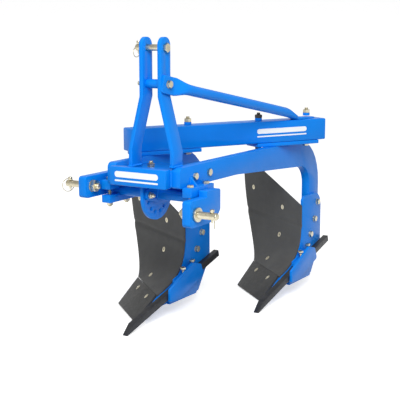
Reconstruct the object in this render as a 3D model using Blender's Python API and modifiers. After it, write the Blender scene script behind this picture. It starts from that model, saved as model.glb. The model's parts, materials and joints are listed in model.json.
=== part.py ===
"""Two-furrow mounted mouldboard plough, right-hand, fixed frame.

Units are metres, +Z is up, travel is towards -Y and the landside (the plough's
own left) is +X.  Shapes are placed in plough coordinates: X = 0 midway between
the two legs, Y = 0 at the front ends of the legs, Z = 0 on the ground.  An
empty then moves everything so that the middle of the outline stands at the
origin.
"""

import math

import bmesh
import bpy
from mathutils import Matrix, Vector

# ---------------------------------------------------------------- dimensions
GAP = 0.0003                  # clearance between touching pieces
PIN_GAP = 0.0004              # radial clearance of a pin or shaft in its bore

FURROW = 0.305                # width of cut of one body
SPACING = 0.565               # distance between the bodies along the travel
LEG_T = 0.040                 # leg plate thickness
LEG_TOP = 0.716
LEG_BOTTOM = 0.634
LEG_BACK = 0.703              # rear edge of a leg in its own body's frame
LEG_DEPTH = 0.106

BEAM_W = 0.096
BEAM_H = 0.098
BEAM_BOTTOM = 0.733
BEAM_ANGLE = math.radians(28.5)
BEAM_MID = Vector((-0.050, 0.505, 0.0))
BEAM_START = -0.345
BEAM_END = 0.651
PAD_T = BEAM_BOTTOM - LEG_TOP - 2 * GAP
FRONT_PAD = (-0.325, -0.015)
REAR_PAD = (0.275, 0.612)

HEAD_DEPTH = 0.040            # headstock bar, front to back
HEAD_BOTTOM = 0.634
HEAD_TOP = 0.708
MEMBER_Y = (0.082, 0.232)     # cross member between the legs
MEMBER_Z = (0.636, 0.690)

MAST_X = 0.0385               # middle of the mast
MAST_GAP = 0.068              # top link gap
MAST_T = 0.0164
MAST_W = 0.066
MAST_TOP = 1.211
MAST_PIN_Z = 1.170
MAST_FOOT_HALF = 0.0885       # inner faces at the foot, from the middle
MAST_BEND_TOP = 0.984
MAST_BEND_FOOT = 0.778
SPACER_Z = 1.032
SPACER_R = 0.018
TOP_PIN_R = 0.0127

SHAFT_Y = 0.100
SHAFT_Z = 0.587
SHAFT_R = 0.020
CRANK_T = 0.036
CRANK_LEFT_X = 0.221          # inner face of the left crank
CRANK_RIGHT_X = -0.236        # inner face of the right crank
PIN_Y = -0.017                # lower link pins
PIN_LEFT_Z = 0.548
PIN_RIGHT_Z = 0.617
PIN_R = 0.014
PIN_LENGTH = 0.095            # from the crank's outer face
COLLAR_R = 0.028
COLLAR_T = 0.012
THREAD_R = 0.012
THREAD_OUT = 0.036

CLAMP_W = 0.042
CLAMP_Y = (0.016, 0.186)
CLAMP_UPPER = (0.600, 0.638)
CLAMP_LOWER = (0.545, 0.576)
SECTOR_X = -0.005
SECTOR_T = 0.012
SECTOR_R = 0.103
HOLE_CIRCLE_R = 0.070
HOLE_STEP = math.radians(27.0)
HOLE_R = 0.0085

FROG_T = 0.012
BAR_W = 0.026
BAR_H = 0.029
BAR_ANGLE = math.radians(14.3)
BAR_LENGTH = 0.765
BAR_TIP_Y = 0.008
BAR_X = 0.036                 # inner face of the bar from the leg's middle
REAR_BOLT = 0.572             # rear beam bolt, along the beam
CLIP_T = 0.012
SHARE_T = 0.011
BOARD_T = 0.008
STRAP_T = 0.008               # strap between a leg and its mouldboard
STRAP_WIDTH = 0.034
STRAP_Z = 0.300

LEG_X = FURROW / 2
MIDDLE = Vector((-0.0729, 0.6272, 0.0))   # middle of the outline on the ground

# share corners in a body's frame: cutting edge, then the seam to the board
SHARE_NOSE = Vector((-0.016, 0.165, 0.008))
SHARE_WING = Vector((-0.243, 0.3585, 0.008))
SEAM_WING = Vector((-0.223, 0.4885, 0.105))
SEAM_NOSE = Vector((0.0145, 0.2863, 0.105))
SHIN_FOOT = Vector((0.0280, 0.2748, 0.105))

BLUE = (0.006, 0.235, 0.800)
STEEL = (0.062, 0.062, 0.064)
BLACK = (0.020, 0.022, 0.025)
ZINC = (0.480, 0.440, 0.310)


# ------------------------------------------------------------------- helpers
def clear_scene():
    for obj in list(bpy.data.objects):
        bpy.data.objects.remove(obj, do_unlink=True)


def make_material(name, colour, roughness, metallic):
    mat = bpy.data.materials.new(name)
    mat.use_nodes = True
    bsdf = mat.node_tree.nodes["Principled BSDF"]
    bsdf.inputs["Base Color"].default_value = (*colour, 1.0)
    bsdf.inputs["Roughness"].default_value = roughness
    bsdf.inputs["Metallic"].default_value = metallic
    mat.diffuse_color = (*colour, 1.0)
    return mat


def new_collection(name):
    coll = bpy.data.collections.new(name)
    bpy.context.scene.collection.children.link(coll)
    return coll


def link(name, mesh, material=None, cutter=False):
    """Make an object of a mesh, in the parts or the cutters."""
    obj = bpy.data.objects.new(name, mesh)
    (CUTTERS if cutter else PARTS).objects.link(obj)
    obj.parent = ROOT
    if cutter:
        obj.hide_render = True
        obj.display_type = "WIRE"
    else:
        mesh.materials.clear()
        mesh.materials.append(material)
    return obj


def rounded(corners, steps=6):
    """Outline with each (a, b, radius) corner replaced by an arc."""
    points = []
    count = len(corners)
    for i, (a, b, radius) in enumerate(corners):
        here = Vector((a, b))
        if radius <= 0:
            points.append(here)
            continue
        back = (Vector(corners[i - 1][:2]) - here).normalized()
        ahead = (Vector(corners[(i + 1) % count][:2]) - here).normalized()
        half = back.angle(ahead) / 2
        centre = here + (back + ahead).normalized() * radius / math.sin(half)
        start = here + back * radius / math.tan(half) - centre
        sweep = start.angle_signed(here + ahead * radius / math.tan(half) - centre)
        for k in range(steps + 1):
            turn = Matrix.Rotation(-sweep * k / steps, 2)
            points.append(centre + turn @ start)
    return points


def prism_mesh(name, outline, thickness):
    """Flat outline as a filled 2D curve, extruded both ways, made a mesh."""
    curve = bpy.data.curves.new(name, "CURVE")
    curve.dimensions = "2D"
    curve.fill_mode = "BOTH"
    curve.extrude = thickness / 2
    spline = curve.splines.new("POLY")
    spline.points.add(len(outline) - 1)
    for point, (a, b) in zip(spline.points, outline):
        point.co = (a, b, 0.0, 1.0)
    spline.use_cyclic_u = True
    holder = bpy.data.objects.new(name, curve)
    bpy.context.scene.collection.objects.link(holder)
    bpy.context.view_layer.update()
    graph = bpy.context.evaluated_depsgraph_get()
    mesh = bpy.data.meshes.new_from_object(holder.evaluated_get(graph))
    bpy.data.objects.remove(holder, do_unlink=True)
    bm = bmesh.new()
    bm.from_mesh(mesh)
    bmesh.ops.remove_doubles(bm, verts=bm.verts, dist=0.00001)
    bmesh.ops.recalc_face_normals(bm, faces=bm.faces)
    bm.to_mesh(mesh)
    bm.free()
    return mesh


def side_plate(name, outline, x_low, thickness, material=None, cutter=False):
    """Plate whose outline is drawn in (Y, Z), from x_low towards +X."""
    mesh = prism_mesh(name, outline, thickness)
    # local x -> Y, local y -> Z, local z -> X
    mesh.transform(Matrix(((0, 0, 1, x_low + thickness / 2),
                           (1, 0, 0, 0), (0, 1, 0, 0), (0, 0, 0, 1))))
    return link(name, mesh, material, cutter)


def front_plate(name, outline, y_low, thickness, material=None, cutter=False):
    """Plate whose outline is drawn in (X, Z), from y_low towards +Y."""
    mesh = prism_mesh(name, outline, thickness)
    mesh.transform(Matrix(((1, 0, 0, 0), (0, 0, -1, y_low + thickness / 2),
                           (0, 1, 0, 0), (0, 0, 0, 1))))
    return link(name, mesh, material, cutter)


def plan_plate(name, outline, z_low, thickness, material):
    """Plate whose outline is drawn in (X, Y), from z_low towards +Z."""
    mesh = prism_mesh(name, outline, thickness)
    mesh.transform(Matrix.Translation((0, 0, z_low + thickness / 2)))
    return link(name, mesh, material)


def box(name, low, high, material=None, cutter=False, bevel=0.0):
    low, high = Vector(low), Vector(high)
    bm = bmesh.new()
    bmesh.ops.create_cube(bm, size=1.0)
    bmesh.ops.scale(bm, vec=high - low, verts=bm.verts)
    bmesh.ops.translate(bm, vec=(high + low) / 2, verts=bm.verts)
    mesh = bpy.data.meshes.new(name)
    bm.to_mesh(mesh)
    bm.free()
    obj = link(name, mesh, material, cutter)
    if bevel:
        add_bevel(obj, bevel)
    return obj


def rod(name, start, end, radius, material=None, cutter=False, sides=32):
    """Round bar between two points."""
    start, end = Vector(start), Vector(end)
    bm = bmesh.new()
    bmesh.ops.create_cone(bm, cap_ends=True, segments=sides, radius1=radius,
                          radius2=radius, depth=(end - start).length)
    turn = (end - start).to_track_quat("Z", "Y").to_matrix().to_4x4()
    bmesh.ops.transform(bm, matrix=Matrix.Translation((start + end) / 2) @ turn,
                        verts=bm.verts)
    mesh = bpy.data.meshes.new(name)
    bm.to_mesh(mesh)
    bm.free()
    return link(name, mesh, material, cutter)


def turned(name, profile, material, location, towards=1):
    """Turned piece: (x, radius) profile spun about the X axis."""
    mesh = bpy.data.meshes.new(name)
    points = [(radius, 0.0, x) for x, radius in reversed(profile)]
    mesh.from_pydata(points, [(i, i + 1) for i in range(len(points) - 1)], [])
    obj = link(name, mesh, material)
    screw = obj.modifiers.new("turn", "SCREW")
    screw.steps = screw.render_steps = 32
    screw.use_merge_vertices = True
    screw.merge_threshold = 0.00001
    obj.rotation_euler = (0, math.radians(90) * towards, 0)
    obj.location = location
    return obj


def cut(obj, cutter, operation="DIFFERENCE"):
    mod = obj.modifiers.new("cut_" + cutter.name, "BOOLEAN")
    mod.operation = operation
    mod.object = cutter
    return obj


def join(obj, other):
    """Union another object into this one; the other becomes a cutter."""
    PARTS.objects.unlink(other)
    CUTTERS.objects.link(other)
    other.hide_render = True
    other.display_type = "WIRE"
    return cut(obj, other, "UNION")


def add_bevel(obj, width, segments=2):
    mod = obj.modifiers.new("edges", "BEVEL")
    mod.width = width
    mod.segments = segments
    mod.limit_method = "ANGLE"
    mod.angle_limit = math.radians(40)
    return obj


def bezier(controls, t):
    """Point of the cubic Bezier curve with four control points."""
    a, b, c, d = controls
    s = 1 - t
    return a * s**3 + b * 3 * s * s * t + c * 3 * s * t * t + d * t**3


# --------------------------------------------------------------------- frame
def leg(name, x_mid, reach, material):
    """Goose-neck leg plate; reach is how far back its body stands."""
    back = reach + LEG_BACK
    front = back - LEG_DEPTH
    belly = [(reach - 0.115, LEG_BOTTOM, 0.9)] if reach > 0 else []
    outline = rounded([
        (0.0, LEG_BOTTOM, 0.010),
        (0.0, LEG_TOP, 0.022),
        (back, LEG_TOP, 0.220),
        (back, 0.400, 0.150),
        (back - 0.083, 0.150, 0.015),
        (front - 0.078, 0.150, 0.015),
        (front, 0.400, 0.150),
        (front, 0.586, 0.095),
    ] + belly, steps=8)
    return side_plate(name, outline, x_mid - LEG_T / 2, LEG_T, material)


def along_beam(t, across=0.0, z=0.0):
    """Point on the main beam, t along it and across towards its front face."""
    ahead = Vector((math.sin(BEAM_ANGLE), math.cos(BEAM_ANGLE), 0))
    side = Vector((math.cos(BEAM_ANGLE), -math.sin(BEAM_ANGLE), 0))
    return BEAM_MID + ahead * t + side * across + Vector((0, 0, z))


def beam_block(name, t_low, t_high, z_low, z_high, width, material, bevel):
    obj = box(name, (-width / 2, t_low, z_low), (width / 2, t_high, z_high),
              material, bevel=bevel)
    obj.rotation_euler = (0, 0, -BEAM_ANGLE)
    obj.location = BEAM_MID
    return obj


def mast_bar(name, side, foot_z, material):
    """Mast bar; side is +1 for the plough's left bar, -1 for the right."""
    top = MAST_GAP / 2
    foot = MAST_FOOT_HALF
    lean = [(top, MAST_TOP), (top, MAST_BEND_TOP), (foot, MAST_BEND_FOOT),
            (foot, foot_z)]
    outer = [(a + MAST_T, b) for a, b in reversed(lean)]
    outline = [(MAST_X + side * a, b) for a, b in lean + outer]
    bar = front_plate(name, outline, GAP, MAST_W, material)
    top_round = MAST_W / 2 - 0.0001
    crown = rounded([(MAST_W + GAP, 0.9, 0), (MAST_W + GAP, MAST_TOP, top_round),
                     (GAP, MAST_TOP, top_round), (GAP, 0.9, 0)], steps=10)
    keep = side_plate(name + "_crown", crown, MAST_X - 0.2, 0.4, cutter=True)
    lower = box(name + "_keep", (MAST_X - 0.2, -0.1, 0.5),
                (MAST_X + 0.2, 0.2, 1.0), cutter=True)
    cut(keep, lower, "UNION")
    cut(bar, keep, "INTERSECT")
    mid = MAST_W / 2 + GAP
    for z, radius in ((MAST_PIN_Z, TOP_PIN_R + PIN_GAP), (SPACER_Z, 0.010)):
        cut(bar, rod(f"{name}_bore_{round(z * 1000)}", (MAST_X - 0.2, mid, z),
                     (MAST_X + 0.2, mid, z), radius, cutter=True, sides=24))
    return bar


def build_stay(material):
    """Pipe stay from the left mast bar to the top of the beam's rear end."""
    x_eye = MAST_X + MAST_GAP / 2 + MAST_T + GAP
    eye = rounded([(0.004, 1.000, 0.024), (0.004, 1.068, 0.028),
                   (0.070, 1.058, 0.020), (0.110, 1.014, 0.010),
                   (0.085, 0.982, 0.015)])
    stay = side_plate("rear_stay", eye, x_eye, 0.012, material)
    bolt = along_beam(REAR_BOLT, 0.0, BEAM_BOTTOM + BEAM_H)
    top = bolt.z + GAP
    start = Vector((x_eye + 0.012, 0.075, 1.017))
    stop = Vector((bolt.x - 0.012, bolt.y - 0.075, top + 0.027))
    join(stay, rod("stay_pipe", start, stop, 0.021, material, sides=20))
    foot = box("stay_foot", (-0.030, -0.105, 0), (0.030, 0.050, 0.012), material)
    foot.rotation_euler = (0, 0, -math.atan2(stop.x - start.x, stop.y - start.y))
    foot.location = (bolt.x, bolt.y, top)
    join(stay, foot)
    return stay


def build_frame(paint, zinc):
    leg("front_leg", -LEG_X, 0.0, paint)
    leg("rear_leg", LEG_X, SPACING, paint)
    beam_block("main_beam", BEAM_START, BEAM_END, BEAM_BOTTOM,
               BEAM_BOTTOM + BEAM_H, BEAM_W, paint, 0.006)
    pad_low = LEG_TOP + GAP
    beam_block("front_beam_pad", *FRONT_PAD, pad_low, pad_low + PAD_T, BEAM_W,
               paint, 0.002)
    beam_block("rear_beam_pad", *REAR_PAD, pad_low, pad_low + PAD_T, BEAM_W,
               paint, 0.002)
    inner = LEG_X - LEG_T / 2 - GAP
    box("headstock_bar", (-inner, -HEAD_DEPTH, HEAD_BOTTOM), (inner, 0, HEAD_TOP),
        paint, bevel=0.003)
    box("cross_member", (-inner, MEMBER_Y[0], MEMBER_Z[0]),
        (inner, MEMBER_Y[1], MEMBER_Z[1]), paint, bevel=0.003)
    mast_bar("left_mast_bar", 1, LEG_TOP + GAP, paint)
    mast_bar("right_mast_bar", -1, HEAD_BOTTOM, paint)
    spacer_end = MAST_GAP - 2 * GAP
    turned("mast_spacer", [(0, 0.010), (0, SPACER_R), (spacer_end, SPACER_R),
                           (spacer_end, 0.010), (0, 0.010)],
           paint, (MAST_X - MAST_GAP / 2 + GAP, MAST_W / 2 + GAP, SPACER_Z))
    reach = MAST_GAP / 2 + MAST_T
    turned("top_link_pin",
           [(-0.036, 0.0), (-0.036, TOP_PIN_R - 0.003), (-0.033, TOP_PIN_R),
            (2 * reach + GAP, TOP_PIN_R), (2 * reach + GAP, 0.019),
            (2 * reach + 0.012, 0.019), (2 * reach + 0.012, 0.0)],
           zinc, (MAST_X - reach, MAST_W / 2 + GAP, MAST_PIN_Z))
    build_stay(paint)


# ------------------------------------------------------------- hitch adjuster
def shaft_bore(name, radius, sides=40):
    return rod(name, (-0.5, SHAFT_Y, SHAFT_Z), (0.5, SHAFT_Y, SHAFT_Z), radius,
               cutter=True, sides=sides)


def clamp_pair(side, paint):
    """Clamp blocks and gusset outside a leg; side is +1 left, -1 right."""
    name = "left" if side > 0 else "right"
    near = LEG_X + LEG_T / 2 + GAP
    x_low, x_high = sorted((side * near, side * (near + CLAMP_W)))
    bore = shaft_bore(name + "_clamp_bore", SHAFT_R + PIN_GAP)
    for part, (z_low, z_high) in (("upper", CLAMP_UPPER), ("lower", CLAMP_LOWER)):
        block = box(f"{name}_clamp_{part}", (x_low, CLAMP_Y[0], z_low),
                    (x_high, CLAMP_Y[1], z_high), paint)
        cut(block, bore)
    rib = [(side * near, CLAMP_UPPER[1] + GAP), (side * near, 0.674),
           (side * (near + 0.032), CLAMP_UPPER[1] + GAP)]
    front_plate(f"{name}_clamp_gusset", rib if side > 0 else rib[::-1], 0.074,
                0.010, paint)


def crank(name, outline, x_low, pin_z, paint):
    plate = side_plate(name, outline, x_low, CRANK_T, paint)
    cut(plate, rod(name + "_pin_bore", (x_low - 0.1, PIN_Y, pin_z),
                   (x_low + CRANK_T + 0.1, PIN_Y, pin_z), PIN_R + PIN_GAP,
                   cutter=True))
    return plate


def lower_pin(name, side, face_x, pin_z, length, zinc):
    """Pin whose collar bears on the crank's outer face at face_x."""
    body = CRANK_T
    profile = [(-body - THREAD_OUT, 0.0), (-body - THREAD_OUT, THREAD_R - 0.002),
               (-body - THREAD_OUT + 0.003, THREAD_R), (-body, THREAD_R),
               (-body, PIN_R), (GAP, PIN_R), (GAP, COLLAR_R), (COLLAR_T, COLLAR_R),
               (COLLAR_T, PIN_R), (length - 0.004, PIN_R),
               (length, PIN_R - 0.004), (length, 0.0)]
    return turned(name, profile, zinc, (face_x, PIN_Y, pin_z), side)


def build_hitch(paint, zinc):
    for side in (1, -1):
        clamp_pair(side, paint)
    sector = rounded([
        (SHAFT_Y - SECTOR_R, 0.6335, 0.004),
        (SHAFT_Y - SECTOR_R, SHAFT_Z - SECTOR_R, SECTOR_R - 0.001),
        (SHAFT_Y + SECTOR_R, SHAFT_Z - SECTOR_R, SECTOR_R - 0.001),
        (SHAFT_Y + SECTOR_R, 0.6335, 0.004)], steps=14)[::-1]
    plate = side_plate("sector_plate", sector, SECTOR_X - SECTOR_T / 2, SECTOR_T,
                       paint)
    cut(plate, shaft_bore("sector_bore", SHAFT_R + PIN_GAP))
    for k in range(6):
        angle = math.pi + HOLE_STEP * k - 0.09
        y = SHAFT_Y + HOLE_CIRCLE_R * math.cos(angle)
        z = SHAFT_Z + HOLE_CIRCLE_R * math.sin(angle)
        cut(plate, rod(f"sector_hole_{k}", (SECTOR_X - 0.05, y, z),
                       (SECTOR_X + 0.05, y, z), HOLE_R, cutter=True, sides=16))

    shaft_start = CRANK_RIGHT_X + GAP
    rod("cross_shaft", (shaft_start, SHAFT_Y, SHAFT_Z),
        (CRANK_LEFT_X - GAP, SHAFT_Y, SHAFT_Z), SHAFT_R, paint, sides=40)
    lever = rounded([(SHAFT_Y - 0.092, SHAFT_Z - 0.010, 0.015),
                     (SHAFT_Y - 0.092, SHAFT_Z + 0.028, 0.015),
                     (SHAFT_Y, SHAFT_Z + 0.034, 0.030),
                     (SHAFT_Y + 0.034, SHAFT_Z, 0.030),
                     (SHAFT_Y, SHAFT_Z - 0.034, 0.030)])
    lever_x = SECTOR_X + SECTOR_T / 2 + 0.003
    arm = side_plate("index_lever", lever, lever_x, 0.010, paint)
    cut(arm, shaft_bore("lever_bore", SHAFT_R + GAP))

    # left crank: low at the front, stepped up over the shaft
    crank("left_hitch_crank", rounded([
        (-0.060, 0.499, 0.018), (-0.060, 0.602, 0.012), (0.060, 0.602, 0.0),
        (0.060, 0.626, 0.006), (0.164, 0.624, 0.010), (0.164, 0.540, 0.015),
        (0.140, 0.516, 0.010), (0.085, 0.499, 0.010)]),
          CRANK_LEFT_X, PIN_LEFT_Z, paint)
    crank("right_hitch_crank", rounded([
        (-0.060, 0.570, 0.014), (-0.060, 0.658, 0.014), (0.150, 0.658, 0.014),
        (0.150, 0.570, 0.014)]), CRANK_RIGHT_X - CRANK_T, PIN_RIGHT_Z, paint)
    lower_pin("left_lower_pin", 1, CRANK_LEFT_X + CRANK_T, PIN_LEFT_Z,
              PIN_LENGTH, zinc)
    lower_pin("right_lower_pin", -1, CRANK_RIGHT_X - CRANK_T, PIN_RIGHT_Z,
              PIN_LENGTH, zinc)


# -------------------------------------------------------------------- bodies
def bar_line(y, lift=0.0):
    """Height of the bar point's underside at y, plus a lift square to it."""
    return (y - BAR_TIP_Y) * math.tan(BAR_ANGLE) + lift / math.cos(BAR_ANGLE)


SHIN = (SHIN_FOOT, Vector((0.0280, 0.518, 0.154)), Vector((0.0280, 0.520, 0.231)),
        Vector((0.0280, 0.464, 0.6255)))
WING = (SEAM_WING, Vector((-0.2545, 0.577, 0.160)), Vector((-0.3845, 0.6604, 0.361)),
        Vector((-0.3345, 0.5844, 0.620)))


def board_surface(name, across=10, up=16, over=0.0):
    """Ruled sheet between the shin and the wing edge, above the share seam."""
    slope = (SEAM_NOSE - SHARE_NOSE).normalized() * 0.0040
    rows = []
    for j in range(up + 1):
        t = j / up
        low, high = bezier(SHIN, t) + slope, bezier(WING, t) + slope
        reach = (high - low).normalized() * over
        rows.append([(low - reach).lerp(high + reach, i / across)
                     for i in range(across + 1)])
    points = [p for row in rows for p in row]
    faces = [(j * (across + 1) + i, j * (across + 1) + i + 1,
              (j + 1) * (across + 1) + i + 1, (j + 1) * (across + 1) + i)
             for j in range(up) for i in range(across)]
    mesh = bpy.data.meshes.new(name)
    mesh.from_pydata(points, [], faces)
    mesh.polygons.foreach_set("use_smooth", [True] * len(faces))
    return mesh


def share_outline():
    """Share corners in order, nose first."""
    return [SHARE_NOSE, SHARE_WING, SEAM_WING, SEAM_NOSE]


def plane_slab(name, corners, top, thickness, material=None, cutter=False):
    """Slab on the share's plane; top is how far its face lies above the plane."""
    normal = (corners[1] - corners[0]).cross(corners[3] - corners[0]).normalized()
    if normal.z < 0:
        normal = -normal
    bm = bmesh.new()
    low = [bm.verts.new(c + normal * (top - thickness)) for c in corners]
    face = bm.faces.new(low)
    grown = bmesh.ops.extrude_face_region(bm, geom=[face])
    moved = [g for g in grown["geom"] if isinstance(g, bmesh.types.BMVert)]
    bmesh.ops.translate(bm, vec=normal * thickness, verts=moved)
    bmesh.ops.recalc_face_normals(bm, faces=bm.faces)
    mesh = bpy.data.meshes.new(name)
    bm.to_mesh(mesh)
    bm.free()
    return link(name, mesh, material, cutter)


def build_body(tag, corner, paint, steel, black):
    """One plough body; corner is the place of its frame's origin."""
    before = set(bpy.data.objects)
    side = LEG_T / 2 + GAP

    # mouldboard: ruled sheet, thickened backwards, trimmed at the top
    board = link(f"{tag}_mouldboard", board_surface(tag + "_board"), steel)
    solid = board.modifiers.new("thickness", "SOLIDIFY")
    solid.thickness = BOARD_T
    solid.offset = 1
    trim = front_plate(tag + "_board_trim", [
        (0.060, 0.385), (-0.222, 0.550), (-0.420, 0.516), (-0.420, 0.900),
        (0.060, 0.900)], 0.2, 0.8, cutter=True)
    cut(board, trim)
    # the same sheet grown forwards and sideways, which clears what is behind it
    block = link(tag + "_board_block", board_surface(tag + "_block", over=0.06),
                 cutter=True)
    thick = block.modifiers.new("thickness", "SOLIDIFY")
    thick.thickness = BOARD_T + 0.060
    thick.offset = -1 + 2 * (BOARD_T + 0.0005) / thick.thickness

    # share: slab on its own plane, ground flat where it meets the soil
    share = plane_slab(f"{tag}_share", share_outline(), 0.0, SHARE_T, steel)
    ground = box(tag + "_ground", (-0.6, -0.3, -0.3), (0.3, 1.2, 0.0),
                 cutter=True)
    cut(share, ground)

    # frog plate on the landside face of the leg
    frog = side_plate(f"{tag}_frog_plate", rounded([
        (0.282, 0.050, 0.010), (0.282, 0.092, 0), (0.300, 0.130, 0),
        (0.420, 0.220, 0), (0.470, 0.300, 0), (0.480, 0.380, 0.040),
        (0.508, 0.446, 0.050), (0.712, 0.446, 0.070), (0.712, 0.190, 0.020),
        (0.610, 0.050, 0.015)]), side, FROG_T, paint)
    cut(frog, block)

    # seat behind the share and the foot of the board, up to the frog plate
    inner = Vector((side - GAP - 0.0005, 0, 0))
    edge = (SHARE_WING - SHARE_NOSE) / (SHARE_WING - SHARE_NOSE).x
    rise = (SEAM_NOSE - SHARE_NOSE)

    def seat_point(x, up):
        base = SHARE_NOSE + rise * up
        return base + edge * (x - base.x)

    seat = plane_slab(f"{tag}_share_seat", [
        seat_point(inner.x, 0.35), seat_point(-0.170, 0.35),
        seat_point(-0.170, 1.55), seat_point(inner.x, 1.55)],
        -SHARE_T - GAP, 0.014, paint)
    cut(seat, block)
    wall = box(tag + "_landside_wall", (side - GAP, 0.0, -0.1), (0.2, 0.8, 0.5),
               cutter=True)
    cut(seat, wall)

    # bar point with its chisel tip
    y0 = BAR_TIP_Y
    run = Vector((math.cos(BAR_ANGLE), math.sin(BAR_ANGLE)))
    up = Vector((-run.y, run.x))
    tip = Vector((y0, 0.0))
    bar = side_plate(f"{tag}_bar_point", [
        tip, tip + run * 0.052 + up * BAR_H,
        tip + run * BAR_LENGTH + up * BAR_H, tip + run * BAR_LENGTH][::-1], BAR_X, BAR_W, black)

    # landside under the bar, against the frog plate
    y_a, y_b = 0.345, 0.610
    landside = side_plate(f"{tag}_landside", rounded([
        (y_a, 0.048, 0.004), (y_a, bar_line(y_a) - 0.006, 0.004),
        (y_b + 0.012, bar_line(y_b + 0.012) - 0.006, 0.012),
        (y_b - 0.040, 0.048, 0.012)]), side + FROG_T + GAP, 0.014, paint)

    # clip: outer plate, top flange and spacer block around the bar
    outer_x = BAR_X + BAR_W + 0.0006
    clip = side_plate(f"{tag}_bar_clip", rounded([
        (0.312, 0.072, 0.005), (0.312, 0.126, 0.005), (0.500, 0.208, 0.008),
        (0.566, 0.190, 0.012), (0.590, 0.134, 0.012), (0.396, 0.072, 0.012)]),
        outer_x, CLIP_T, paint)
    lift = BAR_H + 0.0010
    flange = side_plate(f"{tag}_clip_flange", [
        (0.392, bar_line(0.392, lift)), (0.536, bar_line(0.536, lift)),
        (0.536, bar_line(0.536, lift + 0.014)), (0.392, bar_line(0.392, lift + 0.014))
    ], side + FROG_T + GAP, outer_x - side - FROG_T - GAP + CLIP_T / 2, paint)
    join(clip, flange)

    # strap from the side of the leg to the back of the board
    strap_x = -side - STRAP_T
    strap = plan_plate(f"{tag}_board_stay", rounded([
        (-side, 0.606, 0), (strap_x, 0.606, 0), (strap_x, 0.638, 0.004),
        (-0.125, 0.560, 0.004), (-0.125, 0.520, 0), (-0.228, 0.545, 0),
        (-0.228, 0.590, 0.003), (-0.142, 0.560, 0.010), (strap_x, 0.650, 0.010),
        (strap_x, 0.668, 0), (-side, 0.668, 0)]), STRAP_Z, STRAP_WIDTH, paint)
    cut(strap, block)

    # the whole body hangs on an empty at its own origin
    base = bpy.data.objects.new(f"{tag}_body", None)
    PARTS.objects.link(base)
    base.parent = ROOT
    base.location = corner
    for obj in set(bpy.data.objects) - before - {base}:
        obj.parent = base


# ---------------------------------------------------------------------- main
clear_scene()
PARTS = new_collection("mouldboard_plough")
CUTTERS = new_collection("cutters")
ROOT = bpy.data.objects.new("plough", None)
PARTS.objects.link(ROOT)
ROOT.location = -MIDDLE


def main():
    paint = make_material("blue_paint", BLUE, 0.38, 0.0)
    steel = make_material("board_steel", STEEL, 0.45, 0.6)
    black = make_material("bar_steel", BLACK, 0.5, 0.4)
    zinc = make_material("zinc_plate", ZINC, 0.35, 0.9)
    build_frame(paint, zinc)
    build_hitch(paint, zinc)
    build_body("front", Vector((-LEG_X, 0.0, 0.0)), paint, steel, black)
    build_body("rear", Vector((LEG_X, SPACING, 0.0)), paint, steel, black)


main()
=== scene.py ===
"""Two-furrow mounted mouldboard plough: fasteners, welds, pressed boards, finishes and studio.

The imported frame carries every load-bearing shape.  This script rounds the edges of its
plates, presses the mouldboards, forges the rear stay, adds the bolts, nuts, pins, weld
beads and stripes, and paints everything.  Metres, +Z up, travel towards -Y, and the
landside (the plough's own left) is +X.
"""

from __future__ import annotations

import json
import logging
import math
from contextlib import contextmanager
from dataclasses import dataclass, field
from enum import Enum
from typing import Any, Callable, Iterator, Sequence

import bmesh
import bpy
from mathutils import Matrix, Vector

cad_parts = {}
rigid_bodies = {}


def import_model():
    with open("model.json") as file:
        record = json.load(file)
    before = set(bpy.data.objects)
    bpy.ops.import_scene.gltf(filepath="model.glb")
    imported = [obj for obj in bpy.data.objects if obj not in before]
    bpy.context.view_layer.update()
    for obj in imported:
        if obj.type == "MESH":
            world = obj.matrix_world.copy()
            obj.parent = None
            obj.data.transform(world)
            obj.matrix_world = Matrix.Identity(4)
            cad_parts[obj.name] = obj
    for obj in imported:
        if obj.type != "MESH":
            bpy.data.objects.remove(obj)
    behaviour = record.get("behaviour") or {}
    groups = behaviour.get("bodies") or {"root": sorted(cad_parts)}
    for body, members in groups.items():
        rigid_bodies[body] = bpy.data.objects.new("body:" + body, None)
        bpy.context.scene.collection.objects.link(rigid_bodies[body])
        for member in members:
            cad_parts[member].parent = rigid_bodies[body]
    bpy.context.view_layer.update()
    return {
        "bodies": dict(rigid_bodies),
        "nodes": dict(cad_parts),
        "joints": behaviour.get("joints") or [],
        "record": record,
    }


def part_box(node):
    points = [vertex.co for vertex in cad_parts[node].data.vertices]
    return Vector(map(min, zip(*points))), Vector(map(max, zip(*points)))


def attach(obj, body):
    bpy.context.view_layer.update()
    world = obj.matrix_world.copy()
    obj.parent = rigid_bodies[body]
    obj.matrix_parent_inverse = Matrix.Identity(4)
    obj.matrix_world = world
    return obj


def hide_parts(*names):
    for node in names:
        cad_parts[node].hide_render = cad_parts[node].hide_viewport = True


LOG = logging.getLogger("plough")

Colour = tuple[float, float, float]
Profile = Sequence[tuple[float, float]]

FIXED = "frame"
TURNING = "cross_shaft"
TOUCH = 0.0003


class Slot(Enum):
    """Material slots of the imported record."""

    BLUE = "blue_paint"
    STEEL = "board_steel"
    BAR = "bar_steel"
    ZINC = "zinc_plate"


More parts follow.
